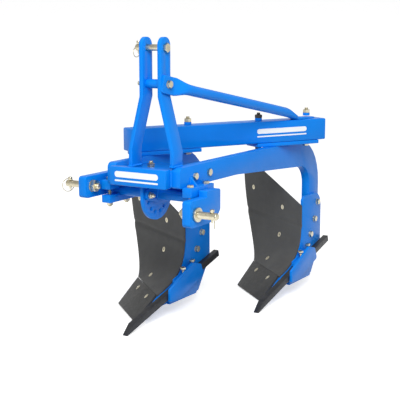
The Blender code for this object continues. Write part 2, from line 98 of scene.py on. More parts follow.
# ------------------------------------------------------------------ the bench
class Bench:
    """Hand modelling with Blender's operators, one piece at a time."""

    @staticmethod
    def take(*objects: bpy.types.Object) -> None:
        """Select only these objects, the last of them active.

        Args:
            objects: the objects to select.
        """
        if bpy.context.object and bpy.context.object.mode != "OBJECT":
            bpy.ops.object.mode_set(mode="OBJECT")
        bpy.ops.object.select_all(action="DESELECT")
        for item in objects:
            item.select_set(True)
            bpy.context.view_layer.objects.active = item

    @staticmethod
    @contextmanager
    def editing(obj: bpy.types.Object) -> Iterator[None]:
        """Edit mode on one object, with nothing selected in its mesh."""
        Bench.take(obj)
        bpy.ops.object.mode_set(mode="EDIT")
        bpy.ops.mesh.select_mode(type="FACE")
        bpy.ops.mesh.select_all(action="DESELECT")
        yield
        bpy.ops.object.mode_set(mode="OBJECT")

    @staticmethod
    def pick_faces(obj: bpy.types.Object, test: Callable[[Any], bool]) -> int:
        """Select the faces that pass a test; the object is in edit mode.

        Args:
            obj: the object being edited.
            test: says whether a face is wanted.

        Returns:
            How many faces are selected.
        """
        bpy.ops.mesh.select_mode(type="FACE")
        bpy.ops.mesh.select_all(action="DESELECT")
        shape = bmesh.from_edit_mesh(obj.data)
        found = [face for face in shape.faces if test(face)]
        for face in found:
            face.select_set(True)
        bmesh.update_edit_mesh(obj.data)
        return len(found)

    @staticmethod
    def pick_points(obj: bpy.types.Object, test: Callable[[Any], bool]) -> None:
        """Select the vertices that pass a test; the object is in edit mode."""
        bpy.ops.mesh.select_mode(type="VERT")
        bpy.ops.mesh.select_all(action="DESELECT")
        shape = bmesh.from_edit_mesh(obj.data)
        for point in shape.verts:
            point.select_set(test(point))
        shape.select_flush(True)
        bmesh.update_edit_mesh(obj.data)

    @staticmethod
    def named(name: str) -> bpy.types.Object:
        """Give the active object, fresh from a primitive, its name."""
        obj = bpy.context.object
        obj.name = name
        obj.data.name = name
        return obj

    @staticmethod
    def settle(obj: bpy.types.Object) -> bpy.types.Object:
        """Move an object's place, turn and scale into its mesh, and face it outwards."""
        Bench.take(obj)
        bpy.ops.object.transform_apply(location=True, rotation=True, scale=True)
        with Bench.editing(obj):
            bpy.ops.mesh.select_all(action="SELECT")
            bpy.ops.mesh.normals_make_consistent(inside=False)
        return obj

    @staticmethod
    def smooth(obj: bpy.types.Object, degrees: float = 30.0) -> bpy.types.Object:
        """Shade smooth, except over edges sharper than an angle."""
        Bench.take(obj)
        bpy.ops.object.shade_smooth_by_angle(angle=math.radians(degrees))
        return obj

    @staticmethod
    def apply(obj: bpy.types.Object, kind: str, **settings: Any) -> bpy.types.Object:
        """Add one modifier with its settings and apply it.

        Args:
            obj: the object to change.
            kind: Blender's name for the modifier.
            settings: its properties.

        Returns:
            The same object.
        """
        Bench.take(obj)
        tool = obj.modifiers.new(kind.lower(), kind)
        for key, value in settings.items():
            setattr(tool, key, value)
        bpy.ops.object.modifier_apply(modifier=tool.name)
        return obj

    @staticmethod
    def round_edges(obj: bpy.types.Object, width: float, segments: int = 2,
                    degrees: float = 30.0) -> bpy.types.Object:
        """Round every edge sharper than an angle."""
        return Bench.apply(obj, "BEVEL", width=width, segments=segments,
                           limit_method="ANGLE", angle_limit=math.radians(degrees),
                           use_clamp_overlap=True)

    @staticmethod
    def lathe(name: str, profile: Profile, sides: int = 24) -> bpy.types.Object:
        """Turn a solid about +Z: a disc is drawn out and resized ring by ring.

        Args:
            name: the piece's name.
            profile: (height, radius) pairs from the foot up.
            sides: how many sides it has.

        Returns:
            The closed solid.
        """
        height, radius = profile[0]
        bpy.ops.mesh.primitive_circle_add(vertices=sides, radius=radius,
                                          fill_type="NGON", location=(0, 0, height))
        obj = Bench.named(name)
        with Bench.editing(obj):
            bpy.ops.mesh.select_all(action="SELECT")
            for next_height, next_radius in profile[1:]:
                step = {"value": (0, 0, next_height - height)}
                bpy.ops.mesh.extrude_region_move(TRANSFORM_OT_translate=step)
                grow = next_radius / radius
                bpy.ops.transform.resize(value=(grow, grow, 1),
                                         center_override=(0, 0, next_height))
                height, radius = next_height, next_radius
        return Bench.settle(obj)

    @staticmethod
    def join(name: str, parts: Sequence[bpy.types.Object]) -> bpy.types.Object:
        """Make one object of several."""
        Bench.take(*parts)
        bpy.ops.object.join()
        return Bench.named(name)

    @staticmethod
    def stand(obj: bpy.types.Object, place: Sequence[float], way: Sequence[float],
              spin: float = 0.0) -> bpy.types.Object:
        """Turn a piece made along +Z to a way and put its foot at a place, in its mesh.

        Args:
            obj: the piece.
            place: where its foot goes.
            way: where its +Z points.
            spin: turn about its own axis before that, in degrees.

        Returns:
            The same object.
        """
        turn = Vector(way).to_track_quat("Z", "Y").to_matrix().to_4x4()
        own = Matrix.Rotation(math.radians(spin), 4, "Z")
        obj.data.transform(Matrix.Translation(Vector(place)) @ turn @ own)
        obj.data.update()
        return obj

    @staticmethod
    def copy(master: bpy.types.Object, name: str) -> bpy.types.Object:
        """Copy a piece, with a mesh of its own."""
        twin = bpy.data.objects.new(name, master.data.copy())
        twin.data.name = name
        bpy.context.scene.collection.objects.link(twin)
        return twin


# --------------------------------------------------------------- shader effects
class Graph:
    """A node tree with short calls to add and wire its nodes."""

    def __init__(self, tree: bpy.types.NodeTree) -> None:
        """Work on one tree."""
        self.tree = tree

    def add(self, kind: str, **settings: Any) -> bpy.types.Node:
        """Add a node; settings name its properties, and in_N its Nth input's value."""
        node = self.tree.nodes.new(kind)
        for key, value in settings.items():
            if key.startswith("in_"):
                node.inputs[int(key[3:])].default_value = value
            else:
                setattr(node, key, value)
        return node

    def wire(self, source: Any, target: Any) -> None:
        """Link an output to an input."""
        self.tree.links.new(source, target)

    def maths(self, operation: str, first: Any, second: Any = None) -> Any:
        """Math node on sockets or numbers.

        Args:
            operation: Blender's name for it.
            first: a socket.
            second: a socket or a number.

        Returns:
            The node's output socket.
        """
        node = self.add("ShaderNodeMath", operation=operation)
        self.wire(first, node.inputs[0])
        if isinstance(second, (int, float)):
            node.inputs[1].default_value = second
        elif second is not None:
            self.wire(second, node.inputs[1])
        return node.outputs[0]

    def remap(self, value: Any, low: float, high: float, out_low: float = 0.0,
              out_high: float = 1.0) -> Any:
        """Clamp and stretch a value from one range to another."""
        node = self.add("ShaderNodeMapRange", in_1=low, in_2=high, in_3=out_low,
                        in_4=out_high)
        self.wire(value, node.inputs[0])
        return node.outputs[0]

    def blend(self, mask: Any, under: Any, over: Any) -> Any:
        """Mix two colours by a mask; each is a socket or a colour."""
        node = self.add("ShaderNodeMix", data_type="RGBA")
        self.wire(mask, node.inputs[0])
        for slot, colour in ((6, under), (7, over)):
            if isinstance(colour, tuple):
                node.inputs[slot].default_value = (*colour, 1.0)
            else:
                self.wire(colour, node.inputs[slot])
        return node.outputs[2]


class Effects:
    """Shader node groups that the finishes share."""

    def __init__(self) -> None:
        """Build every group once."""
        self.mottle = self._mottle()
        self.grain = self._grain()
        self.edges = self._edges()
        self.dust = self._dust()

    @staticmethod
    def _group(name: str, inputs: dict[str, float],
               output: tuple[str, str]) -> tuple[Graph, Any, Any]:
        """Start a group.

        Args:
            name: the group's name.
            inputs: its inputs and their usual values.
            output: its output's name and socket type.

        Returns:
            Its graph, its input node and its output node.
        """
        tree = bpy.data.node_groups.new(name, "ShaderNodeTree")
        for label, value in inputs.items():
            socket = tree.interface.new_socket(label, in_out="INPUT",
                                               socket_type="NodeSocketFloat")
            socket.default_value = value
        tree.interface.new_socket(output[0], in_out="OUTPUT", socket_type=output[1])
        graph = Graph(tree)
        return graph, graph.add("NodeGroupInput"), graph.add("NodeGroupOutput")

    def _mottle(self) -> bpy.types.NodeTree:
        """Cloudy value from 0 to 1, for colour that drifts over a surface."""
        graph, into, out = self._group("cloudy mottle", {"Scale": 9.0, "Contrast": 0.5},
                                       ("Value", "NodeSocketFloat"))
        place = graph.add("ShaderNodeTexCoord")
        noise = graph.add("ShaderNodeTexNoise", in_3=5.0, in_4=0.6)
        graph.wire(place.outputs["Object"], noise.inputs["Vector"])
        graph.wire(into.outputs["Scale"], noise.inputs["Scale"])
        away = graph.maths("SUBTRACT", noise.outputs["Fac"], 0.5)
        half = graph.add("ShaderNodeMath", operation="MULTIPLY_ADD", use_clamp=True)
        graph.wire(graph.maths("DIVIDE", away, 0.36), half.inputs[0])
        graph.wire(into.outputs["Contrast"], half.inputs[1])
        half.inputs[2].default_value = 0.5
        graph.wire(half.outputs[0], out.inputs["Value"])
        return graph.tree

    def _grain(self) -> bpy.types.NodeTree:
        """Normal of a finely uneven skin: sprayed paint, scale or plating."""
        graph, into, out = self._group(
            "fine skin", {"Scale": 320.0, "Strength": 0.05, "Depth": 0.0006},
            ("Normal", "NodeSocketVector"))
        place = graph.add("ShaderNodeTexCoord")
        fine = graph.add("ShaderNodeTexNoise", in_3=3.0, in_4=0.55)
        graph.wire(place.outputs["Object"], fine.inputs["Vector"])
        graph.wire(into.outputs["Scale"], fine.inputs["Scale"])
        broad = graph.add("ShaderNodeTexNoise", in_3=2.0)
        graph.wire(place.outputs["Object"], broad.inputs["Vector"])
        graph.wire(graph.maths("MULTIPLY", into.outputs["Scale"], 0.11),
                   broad.inputs["Scale"])
        height = graph.maths("ADD", fine.outputs["Fac"],
                             graph.maths("MULTIPLY", broad.outputs["Fac"], 2.2))
        bump = graph.add("ShaderNodeBump")
        graph.wire(height, bump.inputs["Height"])
        graph.wire(into.outputs["Strength"], bump.inputs["Strength"])
        graph.wire(into.outputs["Depth"], bump.inputs["Distance"])
        graph.wire(bump.outputs["Normal"], out.inputs["Normal"])
        return graph.tree

    def _edges(self) -> bpy.types.NodeTree:
        """Mask of edges, broken up into stretches, where the finish's lighter edge tone goes:
        partly thin paint, partly a painted highlight.
        """
        graph, into, out = self._group("edge thin paint and highlight", {"Reach": 0.003, "Amount": 0.5},
                                       ("Mask", "NodeSocketFloat"))
        soft = graph.add("ShaderNodeBevel", samples=6)
        graph.wire(into.outputs["Reach"], soft.inputs["Radius"])
        real = graph.add("ShaderNodeNewGeometry")
        dot = graph.add("ShaderNodeVectorMath", operation="DOT_PRODUCT")
        graph.wire(soft.outputs["Normal"], dot.inputs[0])
        graph.wire(real.outputs["Normal"], dot.inputs[1])
        edge = graph.remap(dot.outputs["Value"], 0.995, 0.86)
        place = graph.add("ShaderNodeTexCoord")
        noise = graph.add("ShaderNodeTexNoise", in_2=55.0, in_3=6.0, in_4=0.7)
        graph.wire(place.outputs["Object"], noise.inputs["Vector"])
        broken = graph.remap(noise.outputs["Fac"], 0.56, 0.62)
        graph.wire(graph.maths("MULTIPLY", graph.maths("MULTIPLY", edge, broken),
                               into.outputs["Amount"]), out.inputs["Mask"])
        return graph.tree

    def _dust(self) -> bpy.types.NodeTree:
        """Mask of thin dust that lies on faces turned upwards."""
        graph, into, out = self._group("lying dust", {"Amount": 0.3},
                                       ("Mask", "NodeSocketFloat"))
        real = graph.add("ShaderNodeNewGeometry")
        split = graph.add("ShaderNodeSeparateXYZ")
        graph.wire(real.outputs["Normal"], split.inputs[0])
        up = graph.remap(split.outputs["Z"], 0.55, 1.0)
        place = graph.add("ShaderNodeTexCoord")
        noise = graph.add("ShaderNodeTexNoise", in_2=14.0, in_3=6.0, in_4=0.62)
        graph.wire(place.outputs["Object"], noise.inputs["Vector"])
        patchy = graph.remap(noise.outputs["Fac"], 0.35, 0.75)
        graph.wire(graph.maths("MULTIPLY", graph.maths("MULTIPLY", up, patchy),
                               into.outputs["Amount"]), out.inputs["Mask"])
        return graph.tree


# -------------------------------------------------------------------- finishes
@dataclass(frozen=True)
class Finish:
    """A coat on metal: two drifting shades, lighter edges that are partly thin paint and
    partly a painted highlight, dust and a fine skin.

    Attributes:
        name: the material's name.
        shade: the main colour.
        drift: the colour it drifts to in clouds.
        edge_and_streak_tone: the lighter colour along edges, partly thin paint and partly a
            painted highlight; rolled streaks drift to it too.
        dusty: the colour of dust.
        roughness: lowest and highest roughness.
        metallic: how metallic it is.
        specular: strength of its highlights.
        coat: strength of a clear coat over it.
        cloud: scale of the clouds.
        contrast: how strongly they show.
        thin_paint_and_highlight: how much of each edge takes the lighter colour, partly thin
            paint and partly a painted highlight.
        reach: how far the lighter edge colour reaches from an edge.
        dust: how much dust lies on it.
        skin: scale of the fine skin.
        skin_strength: how strongly the skin shows.
        streak: how strongly rolled streaks show along the height.
    """

    name: str
    shade: Colour
    drift: Colour
    edge_and_streak_tone: Colour
    dusty: Colour = (0.42, 0.38, 0.31)
    roughness: tuple[float, float] = (0.30, 0.42)
    metallic: float = 0.0
    specular: float = 0.4
    coat: float = 0.0
    cloud: float = 9.0
    contrast: float = 0.6
    thin_paint_and_highlight: float = 0.3
    reach: float = 0.003
    dust: float = 0.15
    skin: float = 320.0
    skin_strength: float = 0.06
    streak: float = 0.0

    def build(self, effects: Effects) -> bpy.types.Material:
        """Make the material.

        Args:
            effects: the shared shader groups.

        Returns:
            The node material.
        """
        material = bpy.data.materials.new(self.name)
        material.use_nodes = True
        material.diffuse_color = (*self.shade, 1.0)
        graph = Graph(material.node_tree)
        shader = material.node_tree.nodes["Principled BSDF"]
        mottle = self._place(graph, effects.mottle, self.cloud, self.contrast)
        colour = graph.blend(mottle, self.shade, self.drift)
        if self.streak:
            colour = graph.blend(self._streaks(graph), colour, self.edge_and_streak_tone)
        dust = self._place(graph, effects.dust, self.dust)
        colour = graph.blend(dust, colour, self.dusty)
        # Painted highlight, partly thin paint: a lighter tone is mixed in along the edges.
        edge = self._place(graph, effects.edges, self.reach, self.thin_paint_and_highlight)
        colour = graph.blend(edge, colour, self.edge_and_streak_tone)
        graph.wire(colour, shader.inputs["Base Color"])
        fine = self._place(graph, effects.mottle, self.cloud * 5.3, 0.8)
        rough = graph.remap(fine, 0.0, 1.0, *self.roughness)
        rough = graph.maths("ADD", rough, graph.maths("MULTIPLY", dust, 0.35))
        graph.wire(rough, shader.inputs["Roughness"])
        skin = self._place(graph, effects.grain, self.skin, self.skin_strength)
        graph.wire(skin, shader.inputs["Normal"])
        shader.inputs["Metallic"].default_value = self.metallic
        shader.inputs["Specular IOR Level"].default_value = self.specular
        shader.inputs["Coat Weight"].default_value = self.coat
        shader.inputs["Coat Roughness"].default_value = 0.08
        return material

    @staticmethod
    def _place(graph: Graph, group: bpy.types.NodeTree, *values: float) -> Any:
        """Put a shared group in a material with its values, and return its output."""
        node = graph.add("ShaderNodeGroup", node_tree=group)
        for socket, value in zip(node.inputs, values):
            socket.default_value = value
        return node.outputs[0]

    def _streaks(self, graph: Graph) -> Any:
        """Mask of faint streaks that run up the piece, as rolled steel has."""
        place = graph.add("ShaderNodeTexCoord")
        stretch = graph.add("ShaderNodeMapping")
        stretch.inputs["Scale"].default_value = (60.0, 60.0, 4.0)
        graph.wire(place.outputs["Object"], stretch.inputs["Vector"])
        noise = graph.add("ShaderNodeTexNoise", in_2=1.0, in_3=4.0, in_4=0.6)
        graph.wire(stretch.outputs[0], noise.inputs["Vector"])
        return graph.remap(noise.outputs["Fac"], 0.5, 0.9, 0.0, self.streak)


ENAMEL = Finish("blue machine enamel", (0.0010, 0.232, 0.830), (0.0010, 0.200, 0.740),
                (0.08, 0.36, 0.84), roughness=(0.30, 0.40), specular=0.16, coat=0.04,
                cloud=5.0, contrast=0.7, thin_paint_and_highlight=0.45, reach=0.0022, dust=0.04,
                skin=260.0, skin_strength=0.10)
BOARD = Finish("dark board lacquer", (0.066, 0.066, 0.066), (0.084, 0.086, 0.084),
               (0.13, 0.125, 0.11), roughness=(0.42, 0.58), specular=0.30,
               cloud=6.5, contrast=0.75, thin_paint_and_highlight=0.8, reach=0.004, dust=0.08,
               skin=220.0, skin_strength=0.16, streak=0.14)
# Board lacquer made darker as painted shade for the shares, which face upwards and take more
# light than the boards.
SHADED_SHARE_LACQUER = Finish("share lacquer with painted shade", (0.036, 0.036, 0.036), (0.052, 0.053, 0.052),
               (0.13, 0.125, 0.11), roughness=(0.42, 0.60), specular=0.30,
               cloud=16.0, contrast=0.9, thin_paint_and_highlight=0.9, reach=0.005, dust=0.08,
               skin=220.0, skin_strength=0.20, streak=0.10)
BLACK = Finish("black bar lacquer", (0.017, 0.018, 0.021), (0.026, 0.028, 0.032),
               (0.12, 0.105, 0.09), roughness=(0.38, 0.55), specular=0.30,
               cloud=14.0, contrast=0.9, thin_paint_and_highlight=0.8, reach=0.004, dust=0.08,
               skin=240.0, skin_strength=0.25)
ZINC = Finish("passivated zinc", (0.66, 0.61, 0.46), (0.50, 0.46, 0.34),
              (0.84, 0.82, 0.72), roughness=(0.22, 0.42), metallic=1.0, specular=0.5,
              cloud=42.0, contrast=1.0, thin_paint_and_highlight=0.6, reach=0.0012, dust=0.05,
              skin=700.0, skin_strength=0.08)
OXIDE = Finish("black oxide", (0.022, 0.022, 0.024), (0.050, 0.046, 0.040),
               (0.20, 0.19, 0.17), roughness=(0.35, 0.50), metallic=0.6, specular=0.4,
               cloud=60.0, contrast=1.0, thin_paint_and_highlight=0.5, reach=0.001, dust=0.05,
               skin=600.0, skin_strength=0.10)
STRIPE = Finish("white stripe film", (0.88, 0.90, 0.92), (0.82, 0.86, 0.89),
                (0.70, 0.76, 0.84), roughness=(0.26, 0.36), specular=0.4, cloud=12.0,
                contrast=0.6, thin_paint_and_highlight=0.2, reach=0.0008, dust=0.03, skin=500.0,
                skin_strength=0.04)


class Paintshop:
    """Every finish, made once, and the calls that finish and mount a piece."""

    def __init__(self) -> None:
        """Mix the finishes."""
        effects = Effects()
        self.mixed = {finish.name: finish.build(effects) for finish in
                      (ENAMEL, BOARD, SHADED_SHARE_LACQUER, BLACK, ZINC, OXIDE, STRIPE)}

    def coat(self, obj: bpy.types.Object, finish: Finish) -> None:
        """Put one finish all over a piece."""
        obj.data.materials.clear()
        obj.data.materials.append(self.mixed[finish.name])
        for face in obj.data.polygons:
            face.material_index = 0

    def mount(self, obj: bpy.types.Object, body: str, finish: Finish,
              slot: Slot | None = None) -> bpy.types.Object:
        """Finish a piece and let it ride on a body.

        Args:
            obj: the piece, in place.
            body: the body that it moves with.
            finish: its coat.
            slot: the record's slot that it belongs to; not used.

        Returns:
            The same object.
        """
        self.coat(obj, finish)
        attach(obj, body)
        LOG.info("%s rides on %s", obj.name, body)
        return obj


# ---------------------------------------------------------------------- places
@dataclass(frozen=True)
class Places:
    """Where things are: middle of the legs, front of the legs, and the two bodies.

    Attributes:
        home: the point on the ground midway between the legs, at their front ends.
        bodies: each plough body's own origin, on the ground under its leg.
    """

    home: Vector
    bodies: dict[str, Vector]

    @staticmethod
    def read() -> Places:
        """Work the places out from the frame."""
        front_low, front_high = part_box("front_leg")
        rear_low, rear_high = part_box("rear_leg")
        front_x = (front_low.x + front_high.x) / 2
        rear_x = (rear_low.x + rear_high.x) / 2
        reach = rear_high.y - front_high.y
        home = Vector(((front_x + rear_x) / 2, front_low.y, 0.0))
        return Places(home, {"front": Vector((front_x, front_low.y, 0.0)),
                             "rear": Vector((rear_x, front_low.y + reach, 0.0))})

    def at(self, x: float, y: float, z: float) -> Vector:
        """Point given from the home point."""
        return self.home + Vector((x, y, z))


# ------------------------------------------------------------------- fasteners
@dataclass(frozen=True)
class HexHead:
    """Hexagon bolt head on a washer.

    Attributes:
        across: width across the flats.
        height: height of the head.
        washer: the washer's radius, or 0 for none.
        washer_t: the washer's thickness.
    """

    across: float
    height: float
    washer: float
    washer_t: float = 0.0025

    def build(self, name: str) -> bpy.types.Object:
        """Model it on +Z with its foot at the origin."""
        foot = self.washer_t if self.washer else 0.0
        head = hexagon(name, self.across, self.height, foot, both=False)
        if not self.washer:
            return head
        return Bench.join(name, [washer(name + "_washer", self.washer, foot), head])


@dataclass(frozen=True)
class HexNut:
    """Hexagon nut on a washer, with the bolt's threaded end through it.

    Attributes:
        across: width across the flats.
        height: height of the nut.
        washer: the washer's radius, or 0 for none.
        thread: outer radius of the thread.
        out: how far the thread stands out of the nut.
        washer_t: the washer's thickness.
    """

    across: float
    height: float
    washer: float
    thread: float
    out: float
    washer_t: float = 0.0025

    def build(self, name: str) -> bpy.types.Object:
        """Model it on +Z with its foot at the origin."""
        foot = self.washer_t if self.washer else 0.0
        parts = [hexagon(name + "_nut", self.across, self.height, foot, both=True),
                 threaded(name, self.thread, foot + self.height, self.out)]
        if self.washer:
            parts.insert(0, washer(name + "_washer", self.washer, foot))
        return Bench.join(name, parts)


@dataclass(frozen=True)
class SetScrew:
    """Square-headed set screw standing in its lock nut.

    Attributes:
        across: width of the square head.
        head: its height.
        shank: radius of the threaded shank.
        stand: height of the head's foot.
        nut: width of the lock nut across the flats.
    """

    across: float
    head: float
    shank: float
    stand: float
    nut: float

    def build(self, name: str) -> bpy.types.Object:
        """Model it on +Z with its foot at the origin."""
        nut_height = self.nut * 0.42
        lock = hexagon(name + "_nut", self.nut, nut_height, 0.0, both=True)
        shank = threaded(name, self.shank, nut_height, self.stand - nut_height)
        bpy.ops.mesh.primitive_cube_add(size=1.0)
        head = Bench.named(name + "_head")
        head.scale = (self.across, self.across, self.head)
        head.location.z = self.stand + self.head / 2
        Bench.settle(head)
        with Bench.editing(head):
            Bench.pick_faces(head, lambda face: face.normal.z > 0.9)
            bpy.ops.mesh.inset(thickness=self.across * 0.12)
            bpy.ops.transform.translate(value=(0, 0, self.head * 0.10))
        Bench.smooth(Bench.round_edges(head, 0.0008))
        return Bench.join(name, [lock, shank, head])


@dataclass(frozen=True)
class PloughBolt:
    """Oval countersunk bolt head that lies nearly flush, with a round dimple in its dome.

    Attributes:
        radius: half its width.
        stretch: how much longer than wide it is.
        proud: how far its dome stands above the board.
        dimple: radius of the dimple.
    """

    radius: float
    stretch: float
    proud: float
    dimple: float

    def build(self, name: str) -> bpy.types.Object:
        """Model it on +Z, sunk below the origin, longer along its own Y."""
        profile = [(-0.0050, self.radius * 0.72), (-0.0008, self.radius * 0.99),
                   (0.0001, self.radius), (self.proud * 0.7, self.radius * 0.86),
                   (self.proud, self.radius * 0.62), (self.proud, self.dimple * 1.15),
                   (self.proud - 0.0006, self.dimple), (-0.0022, self.dimple * 0.72)]
        bolt = Bench.lathe(name, profile, 28)
        bolt.scale = (1.0, self.stretch, 1.0)
        return Bench.smooth(Bench.settle(bolt), 40.0)


def washer(name: str, radius: float, thickness: float) -> bpy.types.Object:
    """Flat round washer with broken edges, foot at the origin."""
    chamfer = min(0.0005, thickness * 0.25)
    disc = Bench.lathe(name, [(0.0, radius - chamfer), (chamfer, radius),
                              (thickness - chamfer, radius),
                              (thickness, radius - chamfer)], 32)
    return Bench.smooth(disc)


def hexagon(name: str, across: float, height: float, foot: float,
            both: bool) -> bpy.types.Object:
    """Hexagonal prism whose corners are turned off in a cone, as on a head or nut.

    Args:
        name: the piece's name.
        across: width across the flats.
        height: its height.
        foot: height of its underside.
        both: whether both ends are turned.

    Returns:
        The prism.
    """
    corner = across / math.sqrt(3.0)
    bpy.ops.mesh.primitive_cylinder_add(vertices=6, radius=corner, depth=height,
                                        location=(0, 0, foot + height / 2))
    prism = Bench.settle(Bench.named(name))
    wide, flat = corner * 1.01, across / 2 * 0.95
    drop = (wide - flat) * math.tan(math.radians(30))
    over = 0.001
    narrow = flat - over / math.tan(math.radians(30))
    low = [(foot - over, narrow), (foot + drop, wide)] if both else [(foot - over, wide)]
    cone = Bench.lathe(name + "_cone", low + [(foot + height - drop, wide),
                                              (foot + height + over, narrow)], 48)
    Bench.apply(prism, "BOOLEAN", operation="INTERSECT", object=cone, solver="EXACT")
    bpy.data.objects.remove(cone, do_unlink=True)
    return Bench.smooth(prism, 25.0)


def threaded(name: str, radius: float, foot: float, length: float) -> bpy.types.Object:
    """Threaded bolt end, ridged ring by ring, with a chamfered tip."""
    pitch = radius * 0.25
    count = max(2, int((length - pitch) / pitch))
    root = radius * 0.88
    profile: list[tuple[float, float]] = [(foot - 0.0002, root)]
    for turn in range(count):
        ridge = foot + pitch * (turn + 0.5)
        profile += [(ridge, radius), (ridge + pitch * 0.5, root)]
    profile += [(foot + length - pitch * 0.4, root), (foot + length, root * 0.78)]
    return Bench.smooth(Bench.lathe(name + "_thread", profile, 20), 50.0)


Fastener = HexHead | HexNut | SetScrew | PloughBolt

CLAMP_HEAD = HexHead(0.024, 0.010, 0.0)
CLAMP_NUT = HexNut(0.024, 0.012, 0.0, 0.0078, 0.006)
FRAME_HEAD = HexHead(0.026, 0.010, 0.0)
FRAME_NUT = HexNut(0.026, 0.013, 0.0155, 0.0085, 0.010)
BEAM_NUT = HexNut(0.029, 0.015, 0.0, 0.0085, 0.009)
BEAM_HEAD = HexHead(0.026, 0.010, 0.0150)
FROG_HEAD = HexHead(0.025, 0.011, 0.0145)
BACK_NUT = HexNut(0.019, 0.010, 0.0125, 0.0058, 0.006)
PIN_NUT = HexNut(0.044, 0.020, 0.0245, 0.0120, 0.013, 0.0030)
MAST_HEAD = HexHead(0.026, 0.011, 0.0150)
MAST_NUT = HexNut(0.024, 0.012, 0.0150, 0.0080, 0.013)
LOCK_HEAD = HexHead(0.019, 0.008, 0.0)
LOCK_NUT = HexNut(0.022, 0.010, 0.0130, 0.0070, 0.010, 0.0020)
CLIP_SCREW = SetScrew(0.019, 0.010, 0.0055, 0.029, 0.017)
LANDSIDE_HEAD = HexHead(0.016, 0.006, 0.0)
BOARD_BOLT = PloughBolt(0.0092, 1.30, 0.0014, 0.0026)


class Rack:
    """Fasteners, each kind modelled once and copied where it is needed."""

    def __init__(self, paint: Paintshop) -> None:
        """Start an empty rack.

        Args:
            paint: the finishes.
        """
        self.paint = paint
        self.masters: dict[Fastener, bpy.types.Object] = {}

    def fit(self, name: str, kind: Fastener, place: Vector, way: Sequence[float],
            body: str = FIXED, spin: float = 0.0,
            finish: Finish = ZINC) -> bpy.types.Object:
        """Fit one fastener.

        Args:
            name: the piece's name.
            kind: which fastener.
            place: the middle of the face that it bears on.
            way: where that face looks.
            body: the body that it rides on.
            spin: its turn about its own axis, in degrees.
            finish: its coat.

        Returns:
            The fitted piece.
        """
        if kind not in self.masters:
            self.masters[kind] = kind.build(f"master_{len(self.masters)}")
        piece = Bench.copy(self.masters[kind], name)
        lifted = Vector(place) + Vector(way).normalized() * TOUCH
        Bench.stand(piece, lifted, way, spin)
        return self.paint.mount(piece, body, finish, Slot.ZINC)

    def clear(self) -> None:
        """Throw the masters away."""
        for master in self.masters.values():
            bpy.data.objects.remove(master, do_unlink=True)
        self.masters.clear()


# ----------------------------------------------------------------------- welds
class Welder:
    """Weld beads: straight runs and rings with the ripple of a hand weld."""

    PITCH = 0.0042
    SIDES = 10

    def __init__(self, paint: Paintshop) -> None:
        """Keep the finishes.

        Args:
            paint: the finishes.
        """
        self.paint = paint

    def run(self, name: str, start: Vector, stop: Vector, radius: float = 0.0042,
            body: str = FIXED) -> bpy.types.Object:
        """Lay a straight bead.

        Args:
            name: the piece's name.
            start: one end of its middle line.
            stop: the other end.
            radius: its radius between ripples.
            body: the body that it rides on.

        Returns:
            The bead.
        """
        way = stop - start
        count = max(2, round(way.length / self.PITCH))
        pitch = way.length / count
        bpy.ops.mesh.primitive_cylinder_add(vertices=self.SIDES, radius=radius,
                                            depth=pitch, end_fill_type="NOTHING",
                                            location=(0, 0, pitch / 2))
        bead = Bench.settle(Bench.named(name))
        with Bench.editing(bead):
            bpy.ops.mesh.select_all(action="SELECT")
            bpy.ops.mesh.bisect(plane_co=(0, 0, pitch * 0.45), plane_no=(0, 0, 1))
            Bench.pick_points(bead, lambda v: 0.1 * pitch < v.co.z < 0.9 * pitch)
            bpy.ops.transform.resize(value=(1.22, 1.22, 1.0),
                                     center_override=(0, 0, pitch * 0.45))
        Bench.apply(bead, "ARRAY", count=count, relative_offset_displace=(0, 0, 1),
                    use_merge_vertices=True, merge_threshold=pitch * 0.05)
        with Bench.editing(bead):
            bpy.ops.mesh.select_mode(type="VERT")
            bpy.ops.mesh.select_non_manifold()
            bpy.ops.mesh.fill_holes(sides=self.SIDES)
            bpy.ops.mesh.select_all(action="SELECT")
            bpy.ops.transform.vertex_random(offset=radius * 0.12, seed=len(name))
            bpy.ops.mesh.normals_make_consistent(inside=False)
        Bench.stand(Bench.smooth(bead, 60.0), start, way)
        return self.paint.mount(bead, body, ENAMEL, Slot.BLUE)

    def ring(self, name: str, centre: Vector, way: Sequence[float], around: float,
             radius: float = 0.0042, body: str = FIXED) -> bpy.types.Object:
        """Lay a bead round a bar.

        Args:
            name: the piece's name.
            centre: the middle of the ring.
            way: the bar's direction.
            around: the ring's radius.
            radius: the bead's own radius.
            body: the body that it rides on.

        Returns:
            The bead.
        """
        half = max(8, round(math.pi * around / self.PITCH))
        bpy.ops.mesh.primitive_torus_add(major_radius=around, minor_radius=radius,
                                         major_segments=2 * half, minor_segments=8)
        bead = Bench.named(name)
        for point in bead.data.vertices:
            flat = Vector((point.co.x, point.co.y, 0.0))
            step = round(math.atan2(flat.y, flat.x) / math.pi * half)
            middle = flat.normalized() * around
            if step % 2:
                point.co = middle + (point.co - middle) * 1.25
        Bench.stand(Bench.smooth(Bench.settle(bead), 60.0), centre, way)
        return self.paint.mount(bead, body, ENAMEL, Slot.BLUE)


